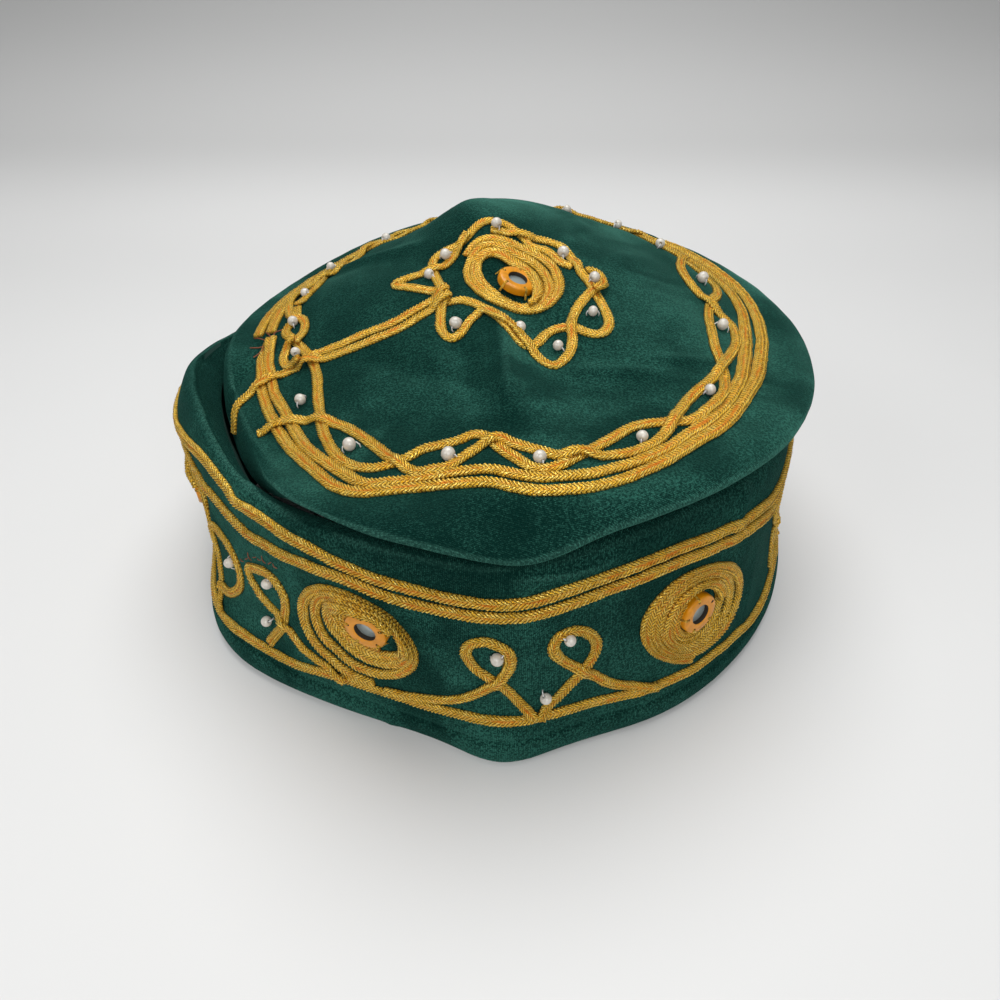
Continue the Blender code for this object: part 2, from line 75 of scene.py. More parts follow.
# Round the band: angle, middle of the two stripe braids, how far each is from it, height of the base
# braid, in degrees and mm.
BRAID_LINES = (
    (0.0, 53.5, 1.7, 15.0),
    (12.0, 55.4, 2.1, 16.0),
    (25.0, 55.0, 2.3, 14.0),
    (36.0, 53.3, 2.1, 13.0),
    (44.0, 52.0, 2.0, 12.0),
    (54.0, 49.6, 2.2, 9.6),
    (75.0, 51.4, 2.1, 10.6),
    (110.0, 52.8, 1.9, 13.4),
    (180.0, 53.5, 1.9, 14.0),
    (250.0, 53.5, 1.9, 14.0),
    (285.0, 54.4, 2.8, 12.8),
    (302.0, 55.2, 4.9, 10.0),
    (316.0, 53.0, 4.2, 11.6),
    (324.0, 54.5, 3.8, 12.4),
    (332.0, 55.5, 3.0, 14.4),
    (338.0, 55.4, 2.2, 15.2),
    (346.0, 54.1, 2.1, 15.0),
)

# Loop strands of the pair in front, as (mm round the band from the pair's middle, height).
RIGHT_LOOP = ((0.5, 16), (9, 26.5), (12.8, 32), (14, 37), (11.3, 42), (7.6, 44.3), (4.2, 43.4),
              (3.2, 39.8), (5.8, 35), (10, 30.5), (14, 26.5), (19.5, 21), (26.5, 17), (33, 14.5))
LEFT_LOOP = ((-0.5, 16), (-7, 27), (-11, 31), (-14.2, 34), (-15.9, 38.4), (-15, 42), (-11.4, 43.8),
             (-7.4, 41.6), (-6.1, 37.4), (-7.2, 32.5), (-10, 28.5), (-16.5, 22), (-22.5, 19), (-30, 17.5),
             (-38, 17.0))
SHORT_ARM = ((-10, 28.5), (-12, 22), (-13, 14))     # where the left arm of a pair has no coil to run to
# The inner end of a coil, in mm from the middle of its hole, and the pearls of a pair of loops.
COIL_END = ((-4.2, 5.4), (-6.2, 2.6), (-6.6, -1.4), (-4.6, -4.8), (-1.2, -6.4), (2.2, -6.6))
LOOP_PEARLS = ((-9.0, 39.2), (6.6, 42.6), (2.0, 23.4))
# The pair at the left has slipped: its own strands and pearls.
SLIPPED_RIGHT_LOOP = ((9.5, 14.2), (11.5, 17.5), (15.8, 23.5), (17.8, 28.5), (19.2, 33.5), (19.0, 37.4),
                      (16.4, 40.0), (12.0, 40.2), (7.4, 38.4), (3.6, 36.2), (3.4, 33.6), (6.8, 30.8),
                      (11.4, 28.8), (15.4, 27.8), (19.2, 24.4), (22.8, 20.6), (26.5, 18.6), (31, 16.8),
                      (36, 14.8))
SLIPPED_LEFT_LOOP = ((-12, 11.5), (-16.5, 12.5), (-19.5, 17), (-21.2, 24), (-22, 31), (-20.5, 35.5),
                     (-15, 36.6), (-9, 36.2), (-4.6, 33.8), (-2.4, 30), (-3.6, 25.5), (-8, 20.5),
                     (-13, 17), (-19, 15.5))
SLIPPED_PEARLS = ((-6.4, 32.2), (14.0, 38.0), (10.5, 23.2))

# Braids of the crown, as (x, y) mm from the hat's axis. The front follows the photograph.
RING_OUTER = ((-67, -3.5), (-68, -11), (-66.5, -18), (-65, -25), (-61, -34), (-55.5, -45), (-49, -56),
              (-42, -66), (-36, -74), (-29.5, -78), (-23, -78.5), (-13.5, -78.5), (-2.5, -78.5),
              (3, -80.5), (8, -81.5), (15, -81), (21, -79.5), (28, -76), (37, -69.5), (45.5, -61.5),
              (53, -54.5), (60.5, -43), (65.5, -34), (69.5, -23.5), (73, -12), (75.5, 3), (75.5, 18),
              (72, 33), (65.5, 47), (57, 57.5), (46, 66), (32, 73), (16, 77), (0, 78), (-16, 76.5),
              (-31, 71), (-45, 62), (-56, 50), (-63.5, 36), (-68.5, 21), (-71, 8), (-71.5, 0))
RING_INNER = ((-65.8, -4), (-65.5, -12), (-63.5, -19), (-61, -26.5), (-56, -36), (-51, -46),
              (-46.5, -54.5), (-40.5, -62.5), (-35, -69), (-29.5, -74.5), (-23, -75.5), (-16, -75.2),
              (-11.5, -74.5), (-2.5, -74), (3, -76), (8.5, -77.5), (18, -76), (24.5, -73.5), (31, -70),
              (38, -65), (43, -60), (49, -54.5), (56.5, -44.5), (61.5, -34.5), (66, -20.5), (69, -8),
              (70.8, 4), (70.5, 18), (67, 32), (61, 44.5), (53, 54.5), (43, 62.3), (30, 69), (15, 73),
              (0, 74), (-15, 72.5), (-29, 67.3), (-42, 58.8), (-52.5, 47.5), (-60, 34), (-64.7, 20),
              (-67.2, 8), (-67.5, 0))
WAVE_FIRST = ((-61, 10), (-60.5, 4), (-62.5, -1.5), (-58.5, -7.5), (-54, -13.5), (-51, -19.5), (-49, -26),
              (-47.5, -33.5), (-45.5, -41.5), (-43.5, -48.5), (-40, -57), (-36, -63.5), (-30.5, -68),
              (-25.5, -68.5), (-21, -66.5), (-17, -63.5), (-10, -62), (-6, -60.5), (-3, -62), (0, -66.5),
              (3, -70), (7, -74), (11.5, -74), (17.5, -69.5), (25, -63), (31.5, -57.5), (39.5, -55.5),
              (45, -54.5), (51, -49), (55.5, -41.5), (57, -33), (57, -23.5), (57.5, -16), (58.5, -6.5),
              (61, 1.5), (64.5, 9), (65.5, 17), (62, 27), (56, 35), (50, 41), (46, 50), (39, 58.5),
              (28.5, 65), (18, 65.5), (8, 63.5), (-2, 66), (-11, 70), (-21, 66.5), (-29, 59), (-37, 55),
              (-46, 51.5), (-54, 41.5), (-56.5, 31), (-56.5, 21), (-61, 10))
WAVE_SECOND = ((-62.5, -42.5), (-57, -41), (-51, -41.5), (-45, -43.5), (-40, -47), (-34.5, -52.5),
               (-29, -59.5), (-24.5, -66), (-19, -72), (-15, -73), (-11, -71.5), (-7, -67.5), (-4, -65),
               (0, -63.5), (4, -66), (9, -68.5), (13, -70), (17.5, -69), (22, -69.5), (29, -67.5),
               (35, -63.5), (39, -58), (42.5, -51.5), (47.5, -44), (54, -36), (60.5, -25.5), (64, -18),
               (65, -10.5), (63, -4.5), (59.5, 1), (56.5, 7.5), (55, 18), (57, 28), (58.5, 35), (54, 44),
               (45.5, 48.5), (38, 52), (31, 59), (22, 66), (12, 69.5), (2, 66), (-7, 62.5), (-17, 62.5),
               (-27, 64), (-37, 60.5), (-45, 52), (-48, 42), (-52, 33), (-59.5, 26), (-64, 15),
               (-62.5, 6), (-57.5, 1.5), (-56.5, -4), (-58, -9))
WAVE_PEARLS = ((-57.2, -12.6), (-51.8, -33.8), (-35, -58.6), (-11.2, -68.4), (8.6, -71.6), (32, -62.5),
               (51.4, -43), (61, -11.8), (60, 13), (51, 36), (39, 49.5), (23, 62.5), (3.5, 69.6),
               (-16, 66), (-39, 54.5), (-55, 36), (-59.3, 15.8), (-60.4, 1.4))
TAIL_UPPER = ((-14, -4.5), (-20, -8), (-29.5, -12.6), (-40, -14), (-50.5, -15.2), (-53, -17.5))
TAIL_LOWER = ((-13, -8), (-20, -12), (-28, -16), (-38, -17.6), (-49, -18.2), (-56, -18.6), (-62, -20.5),
              (-67, -23), (-70.5, -27.5), (-72, -33))
TAIL_EYE = ((-54, -18.5), (-58, -17.6), (-60.6, -14.6), (-61, -11), (-59.8, -8.4), (-57.5, -8.2))
FLOWER_MAIN = ((-15.5, -9.5), (-10, -9.3), (-4.5, -13), (-1, -17.6), (2, -23), (5.5, -27.2), (8.8, -26.6),
               (12.3, -21.6), (15.5, -19.6), (19.5, -19.8), (24, -22.5), (27.3, -22.2), (29, -18.6),
               (28.5, -14.5), (27, -9.5), (25, -3.5), (22.6, 1.6), (20.6, 7), (18.3, 12.8), (14.3, 16),
               (8.5, 17.6), (2.5, 17.6), (-3, 17.2))
FLOWER_FRONT = ((-14.5, -8), (-15.8, -12.5), (-15.8, -18.5), (-13.4, -22.3), (-10.3, -21), (-7.6, -16.8),
                (-4, -15), (0, -19.6), (4, -24), (8, -29), (11, -33.4), (14, -34.6), (17.3, -30.4),
                (18.8, -25.5), (19, -21), (19.2, -17.5), (21, -12.8), (24, -8.2), (26.8, -5.6))
FLOWER_EYE = ((24.2, 1.4), (26.4, 2), (28.6, -1.2), (28, -5.6), (25.4, -7.4))
FLOWER_BACK = ((20.6, 3.4), (17.4, 5.6), (13.6, 11), (9, 13.8), (6.5, 17.5), (2, 20.8), (-3, 21),
               (-7, 18.4), (-9.5, 15.4), (-12.6, 13.6), (-16.6, 13.2), (-19.2, 11.4), (-19.4, 7),
               (-17, -0.6), (-14.4, -7))
FLOWER_LEFT = ((-15.5, -5), (-24, -0.5), (-30, 3), (-26.5, 5), (-17.5, 6.8), (-12.4, 11.6), (-9, 16))
FLOWER_PEARLS = ((-1.4, 19.2), (18.1, 9), (26.2, -1.8), (24.8, -15.2), (15, -27.2), (4.8, -21.6),
                 (-11.6, -18.2), (-15.4, 11), (-20, 3.6))
WAVE = (("wave_first", WAVE_FIRST), ("wave_second", WAVE_SECOND))
FLOWER = (("flower_back", FLOWER_BACK), ("flower_left", FLOWER_LEFT), ("flower_main", FLOWER_MAIN),
          ("flower_front", FLOWER_FRONT), ("flower_eye", FLOWER_EYE))
TAIL = (("tail_upper", TAIL_UPPER), ("tail_lower", TAIL_LOWER), ("tail_eye", TAIL_EYE))
CROWN_COIL = {"outer": (3.3, 0.2), "hole": (2.0, -1.8), "outer_half": (17.6, 14.0), "hole_half": (10.0, 4.6),
              "outer_turn": -45.0, "hole_turn": -54.0, "rows": 3.6, "width": 2.9, "start": 150.0}
CROWN_MIRROR = (4.0, -4.0)
MIRROR_TIP = Vector((0.34, 0.10, 0.0))         # how far the crown's mirror has tipped over on its braid

# Creases of the velvet that the solids leave out: x, y, direction, half length, half width and height, in
# mm and degrees.
CROWN_CREASES = (
    (1.5, -36.0, -79.0, 24.0, 2.9, 2.3),
    (-9.0, -34.0, -70.0, 20.0, 4.0, -1.3),
    (57.0, 22.0, 108.0, 26.0, 5.0, 1.4),
    (46.0, 40.0, 128.0, 18.0, 5.0, 1.0),
    (47.0, -30.0, 20.0, 12.0, 1.6, 0.7),
    (30.0, -36.0, 8.0, 16.0, 2.2, 0.6),
    (38.0, 14.0, 60.0, 22.0, 4.0, 0.9),
    (24.0, 40.0, 110.0, 18.0, 3.5, 0.8),
    (-42.0, 29.5, 161.0, 24.0, 3.0, 1.7),
    (-26.0, -30.0, -28.0, 20.0, 3.0, -0.7),
    (-72.0, -16.0, 80.0, 16.0, 2.4, -1.2),
    (0.0, 52.0, 10.0, 26.0, 4.0, 0.8),
    (-40.0, 60.0, -30.0, 16.0, 3.0, -0.8),
    (50.0, 58.0, 45.0, 14.0, 3.0, -0.8),
)
# The same for the side band: mm round it, height on it, direction, half length, half width and height.
BAND_CREASES = (
    (-15.5, 43.3, -4.0, 9.0, 1.1, 0.55),
    (14.0, 61.0, 6.0, 16.0, 1.4, 0.5),
    (-42.0, 27.0, 78.0, 12.0, 1.8, -0.5),
    (66.0, 58.0, 80.0, 12.0, 2.2, 0.8),
    (80.0, 24.0, 96.0, 14.0, 2.4, 0.7),
    (-70.0, 62.0, 60.0, 12.0, 2.2, 0.8),
    (-98.0, 40.0, 85.0, 16.0, 2.6, 0.8),
    (38.0, 8.0, 70.0, 8.0, 1.6, 0.5),
    (-30.0, 6.0, 110.0, 8.0, 1.6, 0.5),
    (130.0, 45.0, 100.0, 18.0, 3.0, 0.8),
    (190.0, 40.0, 75.0, 18.0, 3.0, -0.8),
    (-150.0, 42.0, 95.0, 18.0, 3.0, 0.8),
    (-210.0, 38.0, 80.0, 18.0, 3.0, -0.8),
)
# Red stitches left on the band where a braid has gone, as (degrees, height), and frayed threads at the
# end of the ring, as (x, y) from where they leave it to where they end.
LOST_STITCHES = ((-48.4, 35.6), (-46.6, 37.9), (-45.2, 40.0), (-43.4, 41.6), (-41.8, 42.4), (-40.4, 43.6),
                 (-38.6, 44.2), (-37.2, 44.6))
FRAYED_ENDS = ((-67.4, -4.6, -70.4, -9.6), (-67.0, -4.0, -72.2, -5.6), (-66.6, -3.4, -71.6, -1.6),
               (-66.0, -3.2, -69.0, 0.8), (-65.4, -3.4, -65.0, 1.4), (-66.8, -5.0, -72.0, -8.0))


# Sizes and colours

class HatVelvet(bpy.types.PropertyGroup):
    smoothing: IntProperty(name="Smoothing", description="Subdivisions of the velvet",
                           default=3, min=1, max=3)
    slackness: FloatProperty(name="Slackness", description="Height of the soft waves in the cloth",
                             default=0.7 * MM, min=0.0, max=3 * MM, unit="LENGTH")
    deep: FloatVectorProperty(name="Deep green", description="Colour looking down into the pile",
                              default=(0.0006, 0.0150, 0.0115), size=3, subtype="COLOR", min=0, max=1)
    lit: FloatVectorProperty(name="Brushed green", description="Colour where the pile lies over",
                             default=(0.030, 0.136, 0.102), size=3, subtype="COLOR", min=0, max=1)
    # Used for the painted sheen at grazing angles and for the paling along the cloth's ridges.
    sheen_and_ridge_green: FloatVectorProperty(name="Rubbed green", description="Colour along rubbed folds",
                              default=(0.075, 0.235, 0.180), size=3, subtype="COLOR", min=0, max=1)
    rib: FloatProperty(name="Rib", description="From one woven row to the next", default=0.42 * MM,
                       min=0.2 * MM, max=2 * MM, unit="LENGTH")
    lining: FloatVectorProperty(name="Lining", description="Colour of the cotton lining",
                                default=(0.012, 0.042, 0.034), size=3, subtype="COLOR", min=0, max=1)


class HatBraid(bpy.types.PropertyGroup):
    width: FloatProperty(name="Braid width", description="Width of the heavier braid",
                         default=3.05 * MM, min=1 * MM, max=6 * MM, unit="LENGTH")
    fine_width: FloatProperty(name="Fine braid width", description="Width of the loops and the flower",
                              default=2.7 * MM, min=1 * MM, max=6 * MM, unit="LENGTH")
    height: FloatProperty(name="Braid height", description="How far a braid stands above the velvet",
                          default=1.25 * MM, min=0.3 * MM, max=3 * MM, unit="LENGTH")
    plait: FloatProperty(name="Plait", description="Length of one strand's crossing along the braid",
                         default=0.99 * MM, min=0.3 * MM, max=2 * MM, unit="LENGTH")
    gold: FloatVectorProperty(name="Gold", description="Colour of the metal thread",
                              default=(0.92, 0.50, 0.014), size=3, subtype="COLOR", min=0, max=1)
    glint: FloatVectorProperty(name="Pale gold", description="Colour of the thread where it catches light",
                               default=(1.0, 0.84, 0.26), size=3, subtype="COLOR", min=0, max=1)
    gap: FloatVectorProperty(name="Gap", description="Colour in the shade between two strands",
                             default=(0.13, 0.055, 0.003), size=3, subtype="COLOR", min=0, max=1)
    core: FloatVectorProperty(name="Core", description="Colour of the stitches along the middle",
                              default=(0.66, 0.165, 0.006), size=3, subtype="COLOR", min=0, max=1)


class HatBeads(bpy.types.PropertyGroup):
    pearl_width: FloatProperty(name="Pearl width", description="Width of a seed pearl",
                               default=3.1 * MM, min=1 * MM, max=6 * MM, unit="LENGTH")
    pearl: FloatVectorProperty(name="Pearl", description="Colour of the seed pearls",
                               default=(0.47, 0.44, 0.385), size=3, subtype="COLOR", min=0, max=1)
    rim_radius: FloatProperty(name="Rim radius", description="Outer radius of a mirror's rim",
                              default=5.4 * MM, min=2 * MM, max=9 * MM, unit="LENGTH")
    rim_height: FloatProperty(name="Rim height", description="How far a rim stands above the velvet",
                              default=2.3 * MM, min=0.5 * MM, max=5 * MM, unit="LENGTH")
    opening: FloatProperty(name="Opening", description="Radius of the mirror that shows",
                           default=2.75 * MM, min=1 * MM, max=5 * MM, unit="LENGTH")
    amber: FloatVectorProperty(name="Amber", description="Colour of the rims",
                               default=(0.50, 0.19, 0.002), size=3, subtype="COLOR", min=0, max=1)


class HatStage(bpy.types.PropertyGroup):
    floor: FloatVectorProperty(name="Floor", description="Colour of the table and backdrop",
                               default=(0.645, 0.645, 0.64), size=3, subtype="COLOR", min=0, max=1)
    key_power: FloatProperty(name="Overhead lamp", description="Power of the large lamp above",
                             default=5.9, min=0.0, subtype="POWER", unit="POWER")
    sky: FloatProperty(name="Room light", description="Strength of the light from all round",
                       default=0.25, min=0.0)


# Shader recipes

class Wire:
    """An output of a shader node that takes part in sums."""

    def __init__(self, recipe, socket):
        self.recipe = recipe
        self.socket = socket

    def math(self, operation, *values):
        inputs = dict(enumerate((self, *values)))
        return self.recipe.node("ShaderNodeMath", {"operation": operation}, inputs)

    def __add__(self, other):
        return self.math("ADD", other)

    __radd__ = __add__

    def __mul__(self, other):
        return self.math("MULTIPLY", other)

    __rmul__ = __mul__

    def __sub__(self, other):
        return self.math("SUBTRACT", other)

    def __rsub__(self, other):
        return self.recipe.node("ShaderNodeMath", {"operation": "SUBTRACT"}, {0: other, 1: self})

    def __pow__(self, other):
        return self.math("POWER", other)

    def __abs__(self):
        return self.math("ABSOLUTE")

    def fraction(self):
        return self.math("FRACT")

    def between(self, low, high, start=0.0, end=1.0):
        """Rises softly from start to end while the value goes from low to high."""
        inputs = {"Value": self, "From Min": low, "From Max": high, "To Min": start, "To Max": end}
        return self.recipe.node("ShaderNodeMapRange", {"interpolation_type": "SMOOTHSTEP"}, inputs)


class Recipe:
    """A material and its nodes."""

    def __init__(self, name):
        self.material = bpy.data.materials.new(name)
        self.material.use_nodes = True
        self.tree = self.material.node_tree
        self.tree.nodes.clear()

    def node(self, kind, settings=None, inputs=None, output=0):
        """Adds a node: its settings first, then the values or links of its sockets."""
        made = self.tree.nodes.new(kind)
        for key, value in (settings or {}).items():
            setattr(made, key, value)
        for key, value in (inputs or {}).items():
            if isinstance(value, Wire):
                self.tree.links.new(value.socket, made.inputs[key])
            else:
                made.inputs[key].default_value = value
        return Wire(self, made.outputs[output])

    def place(self):
        return self.node("ShaderNodeTexCoord", output="Object")

    def axis(self, vector, letter):
        return self.node("ShaderNodeSeparateXYZ", None, {0: vector}, letter)

    def noise(self, scale, detail=2.0, roughness=0.5, where=None, warp=0.0):
        inputs = {"Vector": where or self.place(), "Scale": scale, "Detail": detail, "Roughness": roughness,
                  "Distortion": warp}
        return self.node("ShaderNodeTexNoise", None, inputs)

    def blend(self, amount, first, second):
        return self.node("ShaderNodeMix", {"data_type": "RGBA"}, {0: amount, 6: first, 7: second}, 2)

    def bump(self, height, distance, strength):
        inputs = {"Height": height, "Distance": distance, "Strength": strength}
        return self.node("ShaderNodeBump", None, inputs)

    def finish(self, inputs):
        surface = self.node("ShaderNodeBsdfPrincipled", None, inputs)
        out = self.tree.nodes.new("ShaderNodeOutputMaterial")
        self.tree.links.new(surface.socket, out.inputs["Surface"])
        return self.material


def colour(values, scale=1.0):
    return tuple(channel * scale for channel in values) + (1.0,)


def velvet_material(settings, name, ribs):
    """Ribs is the way that the woven rows run: level on the crown, upright on the band."""
    made = Recipe(name)
    place = made.place()
    brushed = made.noise(28.0, 2.0, 0.55, place, 0.9).between(0.38, 0.62)
    patches = made.noise(110.0, 2.0, 0.5, place, 0.5).between(0.36, 0.64)
    bent = made.noise(45.0, 1.0, 0.5, place) - 0.5
    x, y, height = made.axis(place, "X"), made.axis(place, "Y"), made.axis(place, "Z")
    if ribs == "upright":
        count = x.math("ARCTAN2", y) * (WALL_RADIUS * MM / settings.rib)
    else:
        count = (y + x * 0.25) * (1 / settings.rib)
    row = (abs((count + bent * 7.0).fraction() - 0.5) * 2.0).between(0.15, 0.85)
    tufts = made.noise(1750.0, 1.5, 0.6, place).between(0.42, 0.62)
    pile = made.noise(3300.0, 1.0, 0.5, place).between(0.38, 0.64)
    ridge_paling = made.node("ShaderNodeAttribute", {"attribute_name": "ridge_paling"}, output="Fac")
    turned = made.node("ShaderNodeLayerWeight", None, {"Blend": 0.45}, "Facing")
    weave = (tufts * 0.62 + pile * 0.38) * (0.42 + row * 0.58)
    faces = made.node("ShaderNodeNewGeometry", output="Normal")
    faces_x, faces_y = made.axis(faces, "X"), made.axis(faces, "Y")
    if ribs == "upright":      # painted light: the band is painted paler where it faces the front
        painted_light = (faces_y * -0.7 - faces_x * 0.5).between(0.0, 0.80)
        # painted shade: the band is darker high up, under the crown's overhang
        painted_light = painted_light * height.between(0.057, 0.066, 1.0, 0.25)
    else:                      # painted light: the crown is painted paler where it faces the back and the right
        painted_light = (faces_x * 0.6 + faces_y * 0.55).between(-0.50, 0.30)
    # random brushed patches of the pile, scaled by the painted light and shade
    patches_and_painted_light = (brushed * 0.60 + patches * 0.28) * (0.36 + painted_light * 0.84)
    # painted sheen: paler green at grazing angles on the painted-lit sides
    pale = turned ** 2.0 * (0.10 if ribs == "upright" else 0.58) * painted_light * (0.45 + brushed * 0.75)
    pile_and_painted_light = weave * (0.30 + patches_and_painted_light * 0.75) + patches_and_painted_light * 0.14 - 0.02
    body = made.blend(pile_and_painted_light.between(0.0, 0.9), colour(settings.deep), colour(settings.lit))
    body = made.blend(pale, body, colour(settings.sheen_and_ridge_green))
    # paler along the convex ridges of the cloth
    body = made.blend(ridge_paling.between(0.05, 1.0) * (0.10 + weave * 0.40), body, colour(settings.sheen_and_ridge_green))
    relief = made.bump(weave, 0.0004, 0.9)
    return made.finish({"Base Color": body, "Roughness": 0.95, "Specular IOR Level": 0.04, "Normal": relief,
                        "Sheen Weight": 0.14, "Sheen Roughness": 0.34,
                        "Sheen Tint": (0.12, 0.58, 0.45, 1.0)})


def lining_material(settings):
    made = Recipe("cotton_lining")
    place = made.place()
    weave = made.noise(1800.0, 2.0, 0.6, place)
    body = made.blend(weave, colour(settings.lining, 0.7), colour(settings.lining, 1.5))
    return made.finish({"Base Color": body, "Roughness": 0.85, "Specular IOR Level": 0.2,
                        "Normal": made.bump(weave, 0.0002, 0.5)})


def braid_material(settings):
    """The UV map runs along the braid in plaits, and across it from 0 to 1."""
    made = Recipe("gold_braid")
    place = made.place()
    uv = made.node("ShaderNodeUVMap", {"uv_map": "UVMap"})
    along, across = made.axis(uv, "X"), made.axis(uv, "Y")
    drift = made.noise(190.0, 1.0, 0.5, place) - 0.5
    wobble = made.noise(900.0, 1.0, 0.5, place) - 0.5
    out = abs(across - 0.5) * 2.0
    crossing = along + out * (8 / 3) + wobble * 0.7
    strand = (abs(crossing.fraction() - 0.5) * 2.0).between(0.06, 0.55)
    own = made.node("ShaderNodeCombineXYZ", None,
                    {"X": crossing * 1.15, "Y": across * 4.0, "Z": along * 0.35})
    shade = made.noise(1.0, 1.0, 0.6, own).between(0.34, 0.66)
    filaments_and_glints = made.noise(3400.0, 2.0, 0.75, place).between(0.38, 0.60)
    tone = made.noise(420.0, 2.0, 0.6, place).between(0.36, 0.66)
    warm = made.noise(170.0, 1.0, 0.5, place).between(0.44, 0.62)
    gold = made.blend(shade * 0.62 + tone * 0.38, colour(settings.gold, 0.66), colour(settings.gold, 1.08))
    # painted highlight: pale gold glints along the filaments
    gold = made.blend(filaments_and_glints * (0.25 + shade * 0.60), gold, colour(settings.glint))
    # painted shade between the strands
    gold = made.blend((1 - strand) * 0.88, gold, colour(settings.gap))
    seam = (abs(across - 0.5 + drift * 0.5) * 2.0).between(0.04, 0.30, 1.0, 0.0) * (0.30 + warm * 0.70)
    body = made.blend(seam * (0.50 + shade * 0.50), gold, colour(settings.core))
    body = made.blend(warm * (1 - shade) * 0.16, body, colour(settings.core, 1.1))
    relief = made.bump(strand * 0.8 + filaments_and_glints * 0.45, 0.00030, 0.9)
    return made.finish({"Base Color": body, "Metallic": 0.55 - seam * 0.35, "Roughness": 0.40 - filaments_and_glints * 0.14,
                        "Normal": relief, "Specular IOR Level": 0.2})


def pearl_material(settings):
    made = Recipe("seed_pearl")
    place = made.place()
    cloud = made.noise(900.0, 2.0, 0.5, place)
    body = made.blend(cloud.between(0.35, 0.7), colour(settings.pearl), colour(settings.pearl, 1.25))
    return made.finish({"Base Color": body, "Roughness": 0.24, "Coat Weight": 0.6, "Coat Roughness": 0.12,
                        "Sheen Weight": 0.2, "Normal": made.bump(cloud, 0.00012, 0.4)})


WHITE_THREAD = (0.42, 0.42, 0.41), (0.74, 0.74, 0.72)       # its dark and its pale colour
RUST_THREAD = (0.10, 0.022, 0.008), (0.32, 0.075, 0.015)


def thread_material(name, dark, pale):
    made = Recipe(name)
    twist = made.noise(2400.0, 1.0, 0.5)
    body = made.blend(twist, colour(dark), colour(pale))
    return made.finish({"Base Color": body, "Roughness": 0.6, "Normal": made.bump(twist, 0.0001, 0.6)})


def amber_material(settings):
    made = Recipe("amber_plastic")
    place = made.place()
    streak = made.noise(260.0, 2.0, 0.5, place, 1.2)
    scuff = made.noise(1500.0, 3.0, 0.6, place).between(0.52, 0.72)
    body = made.blend(streak.between(0.35, 0.65), colour(settings.amber), colour(settings.amber, 1.25))
    return made.finish({"Base Color": body, "Roughness": 0.32 + scuff * 0.25, "Coat Weight": 0.12,
                        "Coat Roughness": 0.12, "Specular IOR Level": 0.3,
                        "Normal": made.bump(streak, 0.0002, 0.35)})


def glass_material():
    made = Recipe("small_mirror")
    place = made.place()
    specks = made.noise(1900.0, 2.0, 0.6, place).between(0.66, 0.74)
    haze = made.noise(500.0, 2.0, 0.5, place)
    body = made.blend(specks * 0.7, (0.30, 0.34, 0.33, 1.0), (0.05, 0.055, 0.06, 1.0))
    return made.finish({"Base Color": body, "Metallic": 0.25, "Roughness": 0.16 + haze * 0.14,
                        "Normal": made.bump(haze, 0.0002, 0.25)})


# Painted shade: near-black for the inner wall round each mirror and inside the sewing holes.
def hole_shade_material():
    made = Recipe("painted_hole_shade")
    hole_mottle = made.noise(1500.0)
    body = made.blend(hole_mottle, (0.010, 0.007, 0.004, 1.0), (0.03, 0.02, 0.010, 1.0))
    return made.finish({"Base Color": body, "Roughness": 0.8})


def table_material(settings):
    made = Recipe("white_table")
    mottle = made.noise(6.0, 2.0, 0.5).between(0.3, 0.7)
    height = made.axis(made.place(), "Z")
    body = made.blend(mottle, colour(settings.floor, 0.995), colour(settings.floor, 1.005))
    # painted shade: the backdrop grows darker the higher it rises, as if less light reached it
    body = made.blend(height.between(0.0, 0.035), body, colour(settings.floor, 0.76))
    body = made.blend(height.between(0.03, 0.13), body, colour(settings.floor, 0.54))
    return made.finish({"Base Color": body, "Roughness": 0.55 + mottle * 0.03, "Specular IOR Level": 0.25})


# Placing

def soft_step(value, low, high):
    """Soft step from 0 at low to 1 at high."""
    t = min(max((value - low) / (high - low), 0.0), 1.0)
    return t * t * (3 - 2 * t)


def waver(x, y, z, size):
    """Smooth noise from -1 to 1, whose waves are about size mm long."""
    return noise.noise(Vector((x, y, z)) / (size * MM))


PIECES = {}              # the finished velvet, its surface and the braid layer, for the later steps


def add_piece(name, shape, *finishes):
    """Makes an object of a finished shape."""
    mesh = bpy.data.meshes.new(name)
    shape.to_mesh(mesh)
    shape.free()
    piece = bpy.data.objects.new(name, mesh)
    bpy.context.scene.collection.objects.link(piece)
    for finish in finishes:
        mesh.materials.append(finish)
    mesh.polygons.foreach_set("use_smooth", [True] * len(mesh.polygons))
    return piece


def dress(piece, slot, *nodes):
    """The piece rides on the hat and stands for its plain solids; slot is not used."""
    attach(piece, "root")
    if nodes:
        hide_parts(*nodes)


def numbered(stem, count):
    return [f"{stem}_{number}" for number in range(1, count + 1)]


def merge_into(whole, part):
    """Moves a finished part into a larger shape."""
    mesh = bpy.data.meshes.new("part")
    part.to_mesh(mesh)
    part.free()
    whole.from_mesh(mesh)
    bpy.data.meshes.remove(mesh)


def settled(piece):
    """Gives a piece the mesh that its modifiers make."""
    graph = bpy.context.evaluated_depsgraph_get()
    graph.update()
    mesh = bpy.data.meshes.new_from_object(piece.evaluated_get(graph), preserve_all_data_layers=True,
                                           depsgraph=graph)
    piece.modifiers.clear()
    piece.data = mesh
    return piece


def tree_of(piece):
    mesh = piece.data
    mesh.calc_loop_triangles()
    corners = [vertex.co.copy() for vertex in mesh.vertices]
    return BVHTree.FromPolygons(corners, [tuple(face.vertices) for face in mesh.loop_triangles])


BEYOND_WALL = 0.16       # m from the hat's axis, outside the band everywhere
ABOVE_CROWN = 0.25       # m, higher than the whole hat
SEAM = 66 * MM           # height of the seam between band and crown


